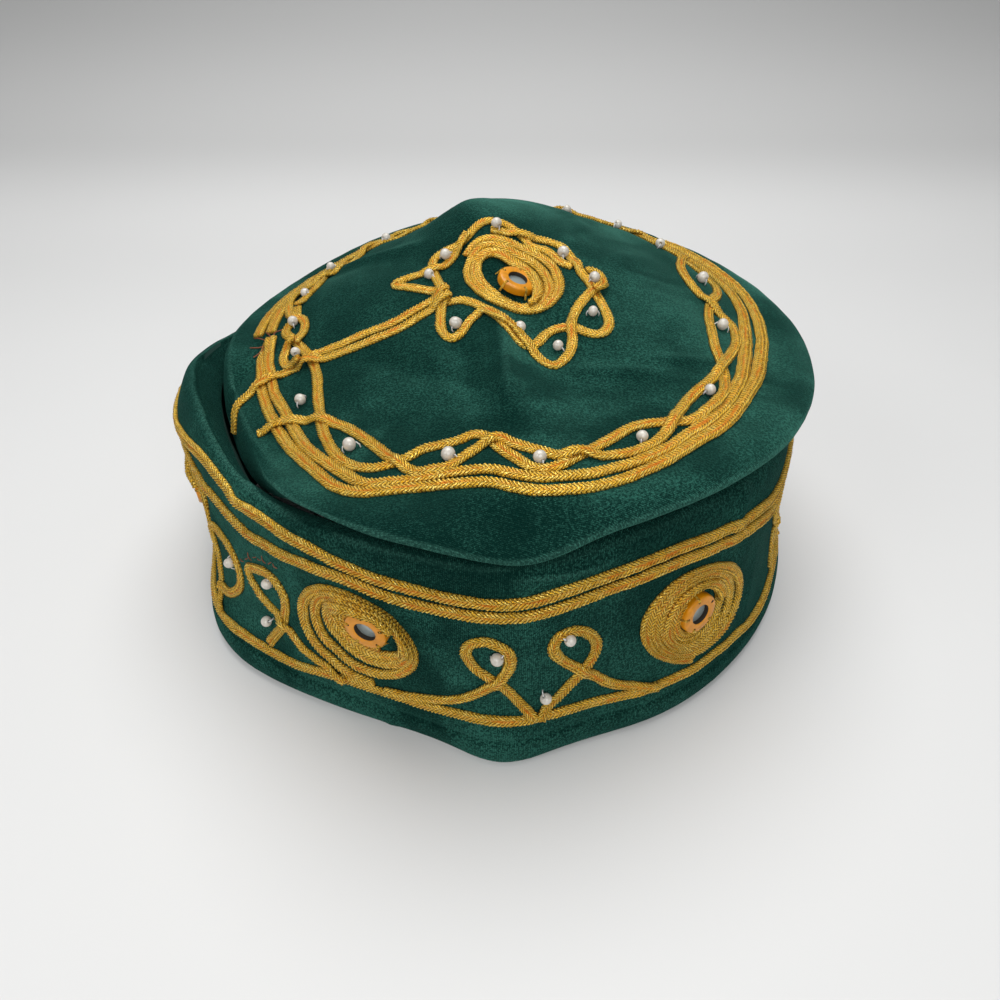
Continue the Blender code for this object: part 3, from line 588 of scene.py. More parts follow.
class Surface:
    """The velvet, as something to lay braids on."""

    def __init__(self, band, crown):
        self.band = tree_of(band)
        self.crown = tree_of(crown)

    def on_band(self, angle, height):
        turn = math.radians(angle)
        out = Vector((math.sin(turn), -math.cos(turn), 0.0))
        start = HAT_AXIS + out * BEYOND_WALL + Vector((0.0, 0.0, height * MM))
        found = self.band.ray_cast(start, -out)
        if found[0] is None:
            raise RuntimeError(f"nothing under the band at {angle:.1f} degrees, {height:.1f} mm")
        normal = found[1] if found[1].dot(out) > 0 else -found[1]
        return found[0], normal

    def on_crown(self, x, y):
        start = HAT_AXIS + Vector((x * MM, y * MM, ABOVE_CROWN))
        hits = [tree.ray_cast(start, Vector((0.0, 0.0, -1.0))) for tree in (self.crown, self.band)]
        hits = [hit for hit in hits if hit[0] is not None]
        if not hits:                      # past the hat's edge, so the nearest cloth at the seam is taken
            deep = start.copy()
            deep.z = SEAM
            hits = [tree.find_nearest(deep) for tree in (self.crown, self.band)]
            hits = [min(hits, key=lambda hit: hit[3])]
        found = max(hits, key=lambda hit: hit[0].z)
        normal = found[1] if found[1].z > 0 else -found[1]
        return found[0], normal


def through(points, step):
    """A smooth line through the points, with a point about every step: a Catmull-Rom curve."""
    known = [np.array(point, float) for point in points]
    known = [2 * known[0] - known[1]] + known + [2 * known[-1] - known[-2]]
    line = []
    for p0, p1, p2, p3 in zip(known, known[1:], known[2:], known[3:]):
        parts = max(2, int(np.linalg.norm(p2 - p1) / step))
        for part in range(parts):
            t = part / parts
            line.append(0.5 * (2 * p1 + (p2 - p0) * t + (2 * p0 - 5 * p1 + 4 * p2 - p3) * t * t
                               + (3 * p1 - p0 - 3 * p2 + p3) * t * t * t))
    line.append(known[-2])
    return np.array(line)


def evened(values, reach, closed=False):
    """A running average over reach neighbours each side."""
    if reach < 1 or len(values) < 3:
        return values
    kernel = np.ones(2 * reach + 1) / (2 * reach + 1)
    table = values.reshape(len(values), -1)
    mode = "wrap" if closed else "edge"
    padded = np.pad(table, ((reach, reach), (0, 0)), mode=mode)
    out = np.stack([np.convolve(padded[:, column], kernel, "valid") for column in range(table.shape[1])], 1)
    return out.reshape(values.shape)


def unit(vectors):
    return vectors / np.maximum(np.linalg.norm(vectors, axis=1, keepdims=True), 1e-12)


# Braids

# A braid's section: how far across and how high, as shares of its width and height. Two round cords
# lie side by side with a groove between them.
SECTION = ((0.0, -0.10), (-0.46, 0.02), (-0.50, 0.50), (-0.27, 1.0), (0.0, 0.50), (0.27, 1.0), (0.50, 0.50),
           (0.46, 0.02))
STRANDS = (0, 3, 2, 1, 0, 1, 2, 3)       # how far along each corner's strand starts, in thirds of a plait
STRAND_RELIEF = (0.17, -0.07, -0.05)     # mm that a strand's thirds stand out
ACROSS = (0.5, 0.04, 0.0, 0.25, 0.5, 0.75, 1.0, 0.96, 0.5)     # the UV map's share across, by corner
WIDEST_HALF = 1.8 * MM                   # half the widest braid
OWN_CROSSING = 5 * MM                    # a braid may cross itself this far along
FLARE_LENGTH = 9 * MM                    # how far a frayed start spreads


class BraidLayer:
    """Lays braids one after another, each over the ones that it crosses."""

    def __init__(self, settings, finish):
        self.settings = settings
        self.finish = finish
        self.laid = []                    # (place, top height, half width)

    def lift_over(self, places, halves, height, closed):
        """How far each point of a new braid is lifted by braids already under it, and by its own start."""
        lift = np.zeros(len(places))
        if self.laid:
            tree = kdtree.KDTree(len(self.laid))
            for index, (place, top, half) in enumerate(self.laid):
                tree.insert(place, index)
            tree.balance()
            for index, place in enumerate(places):
                for near, other, distance in tree.find_range(Vector(place), halves[index] + WIDEST_HALF):
                    top, half = self.laid[other][1:]
                    touch = half + halves[index]
                    share = 1 - soft_step(distance, 0.45 * touch, 0.98 * touch)
                    lift[index] = max(lift[index], top * share)
        gaps = np.linalg.norm(places[:, None, :] - places[None, :, :], axis=2)
        own = np.cumsum(np.r_[0.0, np.linalg.norm(np.diff(places, axis=0), axis=1)])
        for index in range(len(places)):
            apart = own[index] - own[:index]
            if closed:
                apart = np.minimum(apart, own[-1] - apart)
            crossed = np.where((apart > OWN_CROSSING) & (gaps[index, :index] < 1.28 * halves[index]))[0]
            for other in crossed:
                share = 1 - soft_step(gaps[index, other], 0.5 * halves[index], 1.25 * halves[index])
                lift[index] = max(lift[index], (lift[other] + height) * share)
        return evened(lift, 2)

    def lay(self, name, line, find, width=None, widths=None, height=None, closed=False, flare=0.0):
        """One braid along a line of flat places, which find turns into points of the velvet."""
        height = height or self.settings.height
        if widths is None:
            widths = [width or self.settings.width] * len(line)
        sizes = np.array(widths, float)
        found = [find(first, second) for first, second in line]
        spots = evened(np.array([spot for spot, normal in found]), 1, closed)
        normals = unit(evened(np.array([normal for spot, normal in found]), 2, closed))
        halves = sizes / 2
        lift = self.lift_over(spots, halves, height, closed)
        for spot, raised, half in zip(spots, lift, halves):
            self.laid.append((Vector(spot), float(raised + height), float(half)))
        tops = spots + normals * lift[:, None]
        if closed:
            tops, normals = np.vstack([tops, tops[:1]]), np.vstack([normals, normals[:1]])
            sizes = np.r_[sizes, sizes[:1]]
        return self.plaited(name, tops, normals, sizes, height, closed, flare)

    def plaited(self, name, tops, normals, sizes, height, closed, flare):
        """A braid's mesh along the points under its middle: a grid rolled up, with its strands raised."""
        run = np.r_[0.0, np.cumsum(np.linalg.norm(np.diff(tops, axis=0), axis=1))]
        third = self.settings.plait / 3
        steps = max(6, 3 * int(round(run[-1] / third / 3)))
        marks = np.linspace(0.0, run[-1], steps + 1)

        def along(table):
            return np.stack([np.interp(marks, run, column) for column in table.T], 1)

        spine, up = along(tops), unit(along(normals))
        forward = unit(np.gradient(spine, axis=0))
        if closed:
            forward[0] = forward[-1] = unit((spine[1] - spine[-2])[None, :])[0]
        up = unit(up - forward * np.sum(up * forward, axis=1, keepdims=True))
        side = np.cross(up, forward)
        seed = sum(ord(letter) for letter in name)
        wobble = np.array([waver(mark, seed * 0.013, 0.0, 7.0) for mark in marks])
        swell = 1 + 0.09 * np.array([waver(mark, seed * 0.017, 0.4, 3.4) for mark in marks])
        uneven = np.ones(steps + 1)
        if closed:                        # nothing may differ where the two ends meet
            uneven[0] = uneven[-1] = 0.0
            fade = np.minimum(1.0, np.minimum(np.arange(steps + 1), steps - np.arange(steps + 1)) / 30)
            wobble, swell = wobble * fade, 1 + (swell - 1) * fade
        spine = spine + side * (wobble * 0.16 * MM)[:, None]
        spread = np.interp(marks, run, sizes) * swell * (1 + flare * np.clip(1 - marks / FLARE_LENGTH, 0, 1))

        shape = bmesh.new()
        around = len(SECTION)
        uv = shape.loops.layers.uv.new("UVMap")
        bmesh.ops.create_grid(shape, x_segments=steps, y_segments=around, size=1.0)
        shape.verts.ensure_lookup_table()
        flat = np.array([vertex.co[:2] for vertex in shape.verts])
        row = np.rint((flat[:, 0] + 1) / 2 * steps).astype(int)
        corner = np.rint((flat[:, 1] + 1) / 2 * around).astype(int)
        section = np.array(SECTION)[corner % around]
        phase = (row + np.array(STRANDS)[corner % around]) % 3
        loose = np.array([[waver(mark, seed * 0.011, number * 0.3, 1.3) for number in range(around)]
                          for mark in marks])[row, corner % around]
        relief = np.where(section[:, 1] > 0.2, np.array(STRAND_RELIEF)[phase] * MM, 0.0)
        relief = relief + loose * uneven[row] * 0.16 * MM
        outward = np.stack([section[:, 0], np.maximum(section[:, 1] - 0.35, 0.05)], 1)
        outward /= np.linalg.norm(outward, axis=1, keepdims=True)
        sideways = section[:, 0] * spread[row] + outward[:, 0] * relief
        upwards = section[:, 1] * height + outward[:, 1] * relief
        places = spine[row] + side[row] * sideways[:, None] + up[row] * upwards[:, None]
        for vertex, place in zip(shape.verts, places):
            vertex.co = place
        plaits = marks / (3 * third)
        for face in shape.faces:
            for loop in face.loops:
                index = loop.vert.index
                loop[uv].uv = (plaits[row[index]], ACROSS[corner[index]])
        bmesh.ops.remove_doubles(shape, verts=shape.verts, dist=1e-7)
        if not closed:
            bmesh.ops.holes_fill(shape, edges=[edge for edge in shape.edges if edge.is_boundary], sides=0)
        bmesh.ops.recalc_face_normals(shape, faces=shape.faces)
        mesh = bpy.data.meshes.new(name)
        shape.to_mesh(mesh)
        shape.free()
        return mesh

    def lay_all(self, strands, find, step, width):
        """Fine braids from rows of a name and its points, each over the one before."""
        return [self.lay(name, through(points, step), find, width=width, height=FINE_HEIGHT)
                for name, points in strands]


def braid_piece(name, meshes, *nodes):
    """Joins laid braids into one piece, which stands for their plain solids."""
    shape = bmesh.new()
    for mesh in meshes:
        shape.from_mesh(mesh)
        bpy.data.meshes.remove(mesh)
    dress(add_piece(name, shape, PIECES["layer"].finish), "gold_braid", *nodes)


def braid_lines(turn):
    """Middle and spread of the stripe braids and height of the base braid at an angle round the band."""
    rows = sorted(BRAID_LINES)
    rows = [(rows[-1][0] - 360, *rows[-1][1:])] + rows + [(rows[0][0] + 360, *rows[0][1:])]
    turn %= 360
    angles = [row[0] for row in rows]
    after = next(index for index, angle in enumerate(angles) if angle > turn)
    first, second = rows[after - 1], rows[after]
    share = soft_step(turn, first[0], second[0])
    return [a + (b - a) * share for a, b in zip(first[1:], second[1:])]


def around_band(pairs, middle):
    """Turns (mm round, height) into (degrees, height)."""
    return [(middle + math.degrees(along / WALL_RADIUS), height) for along, height in pairs]


TURN_STEPS = 72          # points in one turn of a coil
NARROWEST = 1.5          # mm, the least that a row of a coil is squeezed to


def oval(centre, half, turn, angle, inset):
    """A point of a turned oval's rim, moved in by inset."""
    swing, tilt = math.radians(angle - turn), math.radians(turn)
    x, y = (half[0] - inset) * math.cos(swing), (half[1] - inset) * math.sin(swing)
    return np.array((centre[0] + x * math.cos(tilt) - y * math.sin(tilt),
                     centre[1] + x * math.sin(tilt) + y * math.cos(tilt)))


def spiral(outer, hole, outer_half, hole_half, rows, width, outer_turn, hole_turn, start):
    """A coil's middle line from outside in, and its widths. Rows close up where the hole is off-centre."""
    line, widths = [], []
    for step in range(int(rows * TURN_STEPS) + 1):
        turned = step / TURN_STEPS
        angle = start - turned * 360
        outside = oval(outer, outer_half, outer_turn, angle, width / 2)
        inside = oval(hole, hole_half, hole_turn, angle, -width / 2)
        line.append(outside + (inside - outside) * min(1.0, turned / (rows - 1)))
        room = np.linalg.norm(inside - outside) / (rows - 1)
        widths.append(min(width, max(NARROWEST, room * 1.02)) * MM)
    return line, widths


def varied(point, index, amount):
    """No two loops are laid quite alike."""
    along, height = point
    return (along + amount * waver(along * MM, height * MM, index * 0.4, 14.0),
            height + amount * 1.6 * waver(along * MM, height * MM, 0.7 + index * 0.3, 16.0))


# Velvet

def velvet_copy(name, node, levels):
    """A smooth copy of a cloth solid, with its loose triangles merged and joined into quads."""
    shape = bmesh.new()
    shape.from_mesh(node.data)
    bmesh.ops.remove_doubles(shape, verts=shape.verts, dist=4e-6)
    bmesh.ops.join_triangles(shape, faces=shape.faces, angle_face_threshold=math.radians(50),
                             angle_shape_threshold=math.radians(70))
    piece = add_piece(name, shape)
    smooth = piece.modifiers.new("smooth", "SUBSURF")
    smooth.levels = smooth.render_levels = levels
    return settled(piece)


def crease_height(creases, x, y):
    """How far the small creases lift the velvet at a place, in mm."""
    total = 0.0
    for cx, cy, direction, half_length, half_width, height in creases:
        turn = math.radians(direction)
        dx, dy = x - cx, y - cy
        run = dx * math.cos(turn) + dy * math.sin(turn)
        off = -dx * math.sin(turn) + dy * math.cos(turn)
        if abs(run) < half_length and abs(off) < 4 * half_width + 1.5:
            off += 1.5 * math.sin(run / half_length * 2.2)
            total += height * (1 - (run / half_length) ** 2) * math.exp(-(off / half_width) ** 2)
    return total


def hump(value, middle, reach):
    """Rises from 0 to 1 at the middle and falls again over about reach each side."""
    return math.exp(-((value - middle) / reach) ** 2)


def band_swell(angle, height):
    """How far the side band stands out beyond its solid at an angle and height, in mm."""
    low = 1 - soft_step(height, 8, 19)
    out = 2.4 * hump(angle, 0, 7) * low + 2.2 * hump(angle, -58, 13) * low
    out += 1.8 * hump(angle, -82, 22) * soft_step(height, 42, 58)
    out += crease_height(BAND_CREASES, math.radians(angle) * WALL_RADIUS, height)
    welt = 8.0 + 0.5 * math.sin(angle * 0.11)
    return out - 0.55 * hump(height, welt, 0.95) + 0.3 * hump(height, 4.5, 2.4)


def vectors_of(mesh, key):
    """Every vertex's place or normal, a row each."""
    values = np.empty(len(mesh.vertices) * 3)
    mesh.vertices.foreach_get(key, values)
    return values.reshape(-1, 3)


def loosen(piece, slackness, crown):
    """Gives the cloth soft waves and creases, and marks its ridges, where the velvet is made paler."""
    mesh = piece.data
    places, normals = vectors_of(mesh, "co"), vectors_of(mesh, "normal")
    move, drop = np.zeros(len(places)), np.zeros(len(places))
    for index, (x, y, z) in enumerate(places):
        wave = waver(x, y, z * 0.55, 26.0) * 0.8 + waver(x, y * 1.1, z, 11.0) * 0.34
        wave += waver(x, y, z, 5.0) * 0.12
        flat_x, flat_y, height = (x - HAT_AXIS.x) / MM, (y - HAT_AXIS.y) / MM, z / MM
        angle, radius = math.degrees(math.atan2(flat_x, -flat_y)), math.hypot(flat_x, flat_y)
        if crown:
            move[index] = slackness * wave * 0.85
            if normals[index][2] > 0.1:          # its top side
                move[index] += crease_height(CROWN_CREASES, flat_x, flat_y) * MM
            sag = hump(angle, 3, 7.5) * soft_step(radius, 81, 92) * (1 - soft_step(height, 77, 85))
            drop[index] = 3.8 * MM * sag
        else:
            foot = soft_step(height, 2, 14)
            move[index] = slackness * wave * (0.35 + 0.65 * foot) * (0.55 if height < 3 else 1.0)
            facing_out = normals[index][0] * flat_x + normals[index][1] * flat_y
            if facing_out > -0.3 * radius:
                move[index] += band_swell(angle, height) * MM
    places = places + normals * move[:, None]
    places[:, 2] = np.maximum(places[:, 2] - drop, 0.0)
    mesh.vertices.foreach_set("co", places.ravel())
    mesh.update()
    mark_ridges(mesh, places)


def mark_ridges(mesh, places):
    """Writes how far each vertex stands above its neighbours; the velvet is made paler there."""
    edges = np.empty(len(mesh.edges) * 2, int)
    mesh.edges.foreach_get("vertices", edges)
    first, second = edges.reshape(-1, 2).T
    normals = vectors_of(mesh, "normal")
    ridge, share = np.zeros(len(places)), np.zeros(len(places))
    gap = places[first] - places[second]
    length = np.linalg.norm(gap, axis=1) + 1e-9
    np.add.at(ridge, first, np.sum(gap * normals[first], axis=1) / length ** 2)
    np.add.at(ridge, second, -np.sum(gap * normals[second], axis=1) / length ** 2)
    np.add.at(share, first, 1.0)
    np.add.at(share, second, 1.0)
    ridge /= np.maximum(share, 1)
    for _ in range(3):
        spread, total = ridge.copy(), np.ones(len(places))
        np.add.at(spread, first, ridge[second])
        np.add.at(spread, second, ridge[first])
        np.add.at(total, first, 1.0)
        np.add.at(total, second, 1.0)
        ridge = spread / total
    ridge_paling = np.clip((ridge - 30.0) / 130.0, 0.0, 1.0)
    mark = mesh.attributes.new("ridge_paling", "FLOAT", "POINT")
    mark.data.foreach_set("value", ridge_paling.astype(np.float32))


def line_inside(piece):
    """Gives the faces that look into the hat the lining."""
    middle = HAT_AXIS + Vector((0.0, 0.0, 25 * MM))
    for face in piece.data.polygons:
        away = face.center - middle
        rolled = face.center.z > 57 * MM and face.normal.z > -0.1
        if face.normal.dot(away) < -0.25 * away.length and face.center.z > 0.5 * MM and not rolled:
            face.material_index = 1


class HAT_OT_velvet(bpy.types.Operator):
    """Sew the velvet side band and crown"""
    bl_idname = "hat.velvet"
    bl_label = "Velvet"

    def execute(self, context):
        settings = context.scene.hat_velvet
        lining = lining_material(settings)
        for node, ribs in (("side_band", "upright"), ("crown", "level")):
            name = f"velvet_{node}"
            piece = velvet_copy(name, NODES[node], settings.smoothing)
            loosen(piece, settings.slackness, node == "crown")
            piece.data.materials.append(velvet_material(settings, f"green_{name}", ribs))
            piece.data.materials.append(lining)
            line_inside(piece)
            piece.data.polygons.foreach_set("use_smooth", [True] * len(piece.data.polygons))
            dress(piece, "velvet", node)
            PIECES[node] = piece
        PIECES["surface"] = Surface(PIECES["side_band"], PIECES["crown"])
        braid = context.scene.hat_braid
        PIECES["layer"] = BraidLayer(braid, braid_material(braid))
        return {"FINISHED"}


class HAT_OT_band_braids(bpy.types.Operator):
    """Lay the stripe, the coils, the loops and the base line round the side band"""
    bl_idname = "hat.band_braids"
    bl_label = "Side band braids"

    def execute(self, context):
        settings = context.scene.hat_braid
        layer, find = PIECES["layer"], PIECES["surface"].on_band
        turns = [180 + index * 0.5 for index in range(720)]
        lines = [braid_lines(turn) for turn in turns]
        for name, side in (("stripe_braid_upper", 1), ("stripe_braid_lower", -1)):
            line = [(turn, middle + side * spread + 0.25 * math.sin(math.radians(turn * 7 + side * 80)))
                    for turn, (middle, spread, base) in zip(turns, lines)]
            braid_piece(name, [layer.lay(name, line, find, closed=True)], name)
        braid_piece("coil_braids", self.coils(layer, find, settings), *numbered("coil_braid", REPEATS))
        line = [(turn, base) for turn, (middle, spread, base) in zip(turns, lines)]
        base_mesh = layer.lay("base_braid", line, find, closed=True, height=FINE_HEIGHT)
        braid_piece("base_braid", [base_mesh], "base_braid")
        for side in ("left", "right"):
            loops = [layer.lay(f"{side}_loop_{index}", around_band(self.loop(side, index), angle), find,
                               width=settings.fine_width, height=FINE_HEIGHT)
                     for index, angle in enumerate(PAIR_ANGLES)]
            braid_piece(f"loop_braids_{side}", loops, *numbered(f"loop_braid_{side}", REPEATS))
        return {"FINISHED"}

    def coils(self, layer, find, settings):
        """A coil round each medallion's mirror, and the end that runs on round the mirror."""
        meshes = []
        for index, (angle, height, half_width, half_height, turn, across, up) in enumerate(MEDALLIONS):
            line, widths = spiral((0.0, height), (across, height + up), (half_width, half_height),
                                  COIL["hole_half"], COIL["rows"], COIL["width"], turn,
                                  turn - COIL["hole_lean"], COIL["start"] + turn)
            meshes.append(layer.lay(f"coil_{index}", around_band(line, angle), find, widths=widths))
            inner = through([(across + x, height + up + z) for x, z in COIL_END], 0.5)
            meshes.append(layer.lay(f"coil_end_{index}", around_band(inner, angle), find,
                                    width=settings.width * 0.86))
        return meshes

    def loop(self, side, index):
        """The line of one loop of a pair, as (mm round the band, height)."""
        drawn = LEFT_LOOP if side == "left" else RIGHT_LOOP
        if side == "left" and index == RIGHT_PAIR:
            drawn = LEFT_LOOP[:10] + SHORT_ARM
        if index == LEFT_PAIR:
            drawn = SLIPPED_LEFT_LOOP if side == "left" else SLIPPED_RIGHT_LOOP
        amount = 0.0 if index in MEASURED_PAIRS else 1.0
        return through([varied(point, index, amount) for point in drawn], 0.5)


class HAT_OT_crown_braids(bpy.types.Operator):
    """Lay the ring with its crossing strands, the coil, the flower and its tail on the crown"""
    bl_idname = "hat.crown_braids"
    bl_label = "Crown braids"

    def execute(self, context):
        fine = context.scene.hat_braid.fine_width
        layer, find = PIECES["layer"], PIECES["surface"].on_crown
        ring = []
        for name, points in (("ring_outer", RING_OUTER), ("ring_inner", RING_INNER)):
            line = through(points, 0.6)
            widths = [(2.9 + 0.7 * max(soft_step(x, 35, 60), soft_step(y, -20, 20))) * MM for x, y in line]
            ring.append(layer.lay(name, line, find, widths=widths, flare=0.3))
        ring += layer.lay_all(WAVE, find, 0.6, fine * 1.04)
        braid_piece("crown_ring_braids", ring, "crown_ring_braid")
        line, widths = spiral(**CROWN_COIL)
        braid_piece("crown_coil_braids", [layer.lay("crown_coil", line, find, widths=widths)],
                    "crown_coil_braid")
        braid_piece("crown_flower_braids", layer.lay_all(FLOWER, find, 0.5, fine), "crown_flower_braid")
        braid_piece("crown_tail_braids", layer.lay_all(TAIL, find, 0.5, fine), "crown_tail_braid")
        return {"FINISHED"}


# Mirrors and beads

def upright(place, normal, turn=0.0):
    """Puts a thing made flat at the origin on a place, facing along the normal."""
    quarter = Vector((0.0, 0.0, 1.0)).rotation_difference(Vector(normal))
    return Matrix.Translation(place) @ quarter.to_matrix().to_4x4() @ Matrix.Rotation(turn, 4, "Z")


def turned_ring(shape, profile, steps):
    """Spins a closed profile of (radius, height) about Z."""
    verts = [shape.verts.new((radius, 0.0, height)) for radius, height in profile]
    edges = [shape.edges.new(pair) for pair in zip(verts, verts[1:] + verts[:1])]
    bmesh.ops.spin(shape, geom=verts + edges, cent=(0.0, 0.0, 0.0), axis=(0.0, 0.0, 1.0), angle=2 * math.pi,
                   steps=steps, use_merge=True, use_duplicate=False)


def rim_shape(settings, steps=30, holes=5):
    """An amber rim: a flat sloping face with a lip round the mirror and small sewing holes."""
    out, high, bore = settings.rim_radius, settings.rim_height, settings.opening
    lip, edge = bore + 1.15 * MM, out - 0.50 * MM
    shape = bmesh.new()
    profile = ((bore, high * 0.20), (bore, high * 0.94), (bore + 0.14 * MM, high), (lip, high),
               (edge, high * 0.98), (out - 0.16 * MM, high * 0.90), (out, high * 0.72), (out, high * 0.10),
               (out - 0.20 * MM, 0.0), (bore + 0.5 * MM, 0.0))
    turned_ring(shape, profile, steps)
    bmesh.ops.recalc_face_normals(shape, faces=shape.faces)
    # painted shade: the inner wall round the mirror takes the near-black second material
    for face in shape.faces:
        if math.hypot(*face.calc_center_median()[:2]) < bore + 0.05 * MM:
            face.material_index = 1
    middle = (lip + edge) / 2
    ring = [face for face in shape.faces if face.normal.z > 0.8
            and abs(math.hypot(*face.calc_center_median()[:2]) - middle) < 0.25 * MM]
    ring.sort(key=lambda face: math.atan2(face.calc_center_median().y, face.calc_center_median().x))
    chosen = ring[::max(1, len(ring) // holes)][:holes]
    bmesh.ops.inset_individual(shape, faces=chosen, thickness=0.16 * MM, depth=0.0)
    deep = bmesh.ops.extrude_discrete_faces(shape, faces=chosen)["faces"]
    bmesh.ops.translate(shape, verts=list({vertex for face in deep for vertex in face.verts}),
                        vec=(0.0, 0.0, -high * 0.45))
    # painted shade: the sewing holes and the walls round them take the near-black second material
    for face in deep:
        face.material_index = 1
        for edge in face.edges:
            for other in edge.link_faces:
                if other.normal.z < 0.6:
                    other.material_index = 1
    spots = [face.calc_center_median() + Vector((0.0, 0.0, high * 0.45)) for face in deep]
    return shape, spots


def tube(shape, points, radius, sides):
    """A thin thread along points: a circle drawn out from point to point."""
    line = [Vector(point) for point in points]
    rings = []
    for index, point in enumerate(line):
        forward = (line[min(index + 1, len(line) - 1)] - line[max(index - 1, 0)]).normalized()
        made = bmesh.ops.create_circle(shape, cap_ends=False, segments=sides, radius=radius,
                                       matrix=upright(point, forward))["verts"]
        rings.append(made)
    for first, second in zip(rings, rings[1:]):
        edges = [edge for ring in (first, second) for edge in {e for v in ring for e in v.link_edges}
                 if all(vertex in ring for vertex in edge.verts)]
        bmesh.ops.bridge_loops(shape, edges=edges)
    for ring in (rings[0], rings[-1]):
        shape.faces.new(ring)


def mirror_shape(radius, level):
    """A thin round mirror with a bevelled edge."""
    shape = bmesh.new()
    bmesh.ops.create_cone(shape, cap_ends=True, cap_tris=False, segments=40, radius1=radius, radius2=radius,
                          depth=level, matrix=Matrix.Translation((0.0, 0.0, level / 2)))
    top = [edge for edge in shape.edges if all(vertex.co.z > level * 0.9 for vertex in edge.verts)]
    bmesh.ops.bevel(shape, geom=top, affect="EDGES", offset=0.12 * MM, segments=2, profile=0.5, material=-1)
    bmesh.ops.recalc_face_normals(shape, faces=shape.faces)
    return shape


def bead_shape(size, lean):
    """A pearl of radius size, drilled along X."""
    bore = 0.27                           # share of the radius
    profile = []
    for step in range(11):
        bend = math.radians(-74 + step * 14.8)
        profile.append((size * max(bore, math.cos(bend)), size * math.sin(bend) * 0.93))
    bead = bmesh.new()
    turned_ring(bead, profile + [(size * bore, size * 0.45), (size * bore, -size * 0.45)], 18)
    bead.transform(Matrix.Rotation(math.radians(90), 4, "Y"))
    bead.transform(Matrix.Rotation(lean, 4, "Y"))
    return bead


class HAT_OT_mirrors(bpy.types.Operator):
    """Sew on the small mirrors in their amber rims"""
    bl_idname = "hat.mirrors"
    bl_label = "Mirrors"

    def execute(self, context):
        settings = context.scene.hat_beads
        surface = PIECES["surface"]
        rims, glasses, threads = bmesh.new(), bmesh.new(), bmesh.new()
        spots = [(surface.on_band, angle + math.degrees(across / WALL_RADIUS), height + up + 0.8)
                 for angle, height, half_width, half_height, turn, across, up in MEDALLIONS]
        spots.append((surface.on_crown, *CROWN_MIRROR))
        for index, (find, first, second) in enumerate(spots):
            place, normal = self.seat(find, first, second, settings.rim_radius)
            if find == surface.on_crown:
                normal = (normal + MIRROR_TIP).normalized()
                place = place + normal * 0.9 * MM
            fit = upright(place, normal, 0.55 + index * 1.1)
            rim, holes = rim_shape(settings)
            rim.transform(fit)
            merge_into(rims, rim)
            glass = mirror_shape(settings.opening + 0.3 * MM, settings.rim_height * 0.42)
            glass.transform(fit)
            merge_into(glasses, glass)
            for number, hole in enumerate(holes):
                if (number + index) % 5 != 3:             # one hole in five has lost its thread
                    self.sew(threads, fit, hole, settings)
        rim_piece = add_piece("mirror_rims", rims, amber_material(settings), hole_shade_material())
        edges = rim_piece.modifiers.new("edges", "BEVEL")
        edges.width = 0.07 * MM
        edges.segments = 2
        edges.limit_method = "ANGLE"
        dress(settled(rim_piece), "gold_plastic", *numbered("mirror_rim", MIRRORS))
        glass_piece = add_piece("mirror_glasses", glasses, glass_material())
        dress(glass_piece, "mirror_glass", *numbered("mirror_glass", MIRRORS))
        dress(add_piece("mirror_threads", threads, PIECES["layer"].finish), "gold_braid")
        return {"FINISHED"}

    def seat(self, find, first, second, radius):
        """Where a rim rests: near the highest velvet under it, and the way that it faces."""
        step = radius / MM * 0.7
        scale = math.degrees(1 / WALL_RADIUS) if find == PIECES["surface"].on_band else 1.0
        found = [find(first + dx * scale, second + dy)
                 for dx, dy in ((0, 0), (step, 0), (-step, 0), (0, step), (0, -step))]
        normal = sum((normal for place, normal in found), Vector()).normalized()
        place = found[0][0].copy()
        high = max((other - place).dot(normal) for other, normal_there in found)
        return place + normal * high * 0.7, normal

    def sew(self, threads, fit, hole, settings):
        """Two turns of gold thread from a hole over the rim's edge."""
        flat = Vector((hole.x, hole.y, 0.0))
        out = flat.normalized()
        side = Vector((-out.y, out.x, 0.0))
        high, edge = settings.rim_height, settings.rim_radius
        route = ((flat - out * 0.1 * MM, high * 0.7), (flat + out * 0.2 * MM, high * 1.04),
                 (out * (edge - 0.35 * MM), high * 0.98), (out * (edge + 0.12 * MM), high * 0.6),
                 (out * (edge + 0.5 * MM), high * 0.2), (out * (edge + 1.0 * MM), -0.3 * MM))
        for shift in (-0.17 * MM, 0.17 * MM):
            points = [point + Vector((0, 0, level)) + side * shift for point, level in route]
            tube(threads, [fit @ point for point in points], 0.17 * MM, 6)


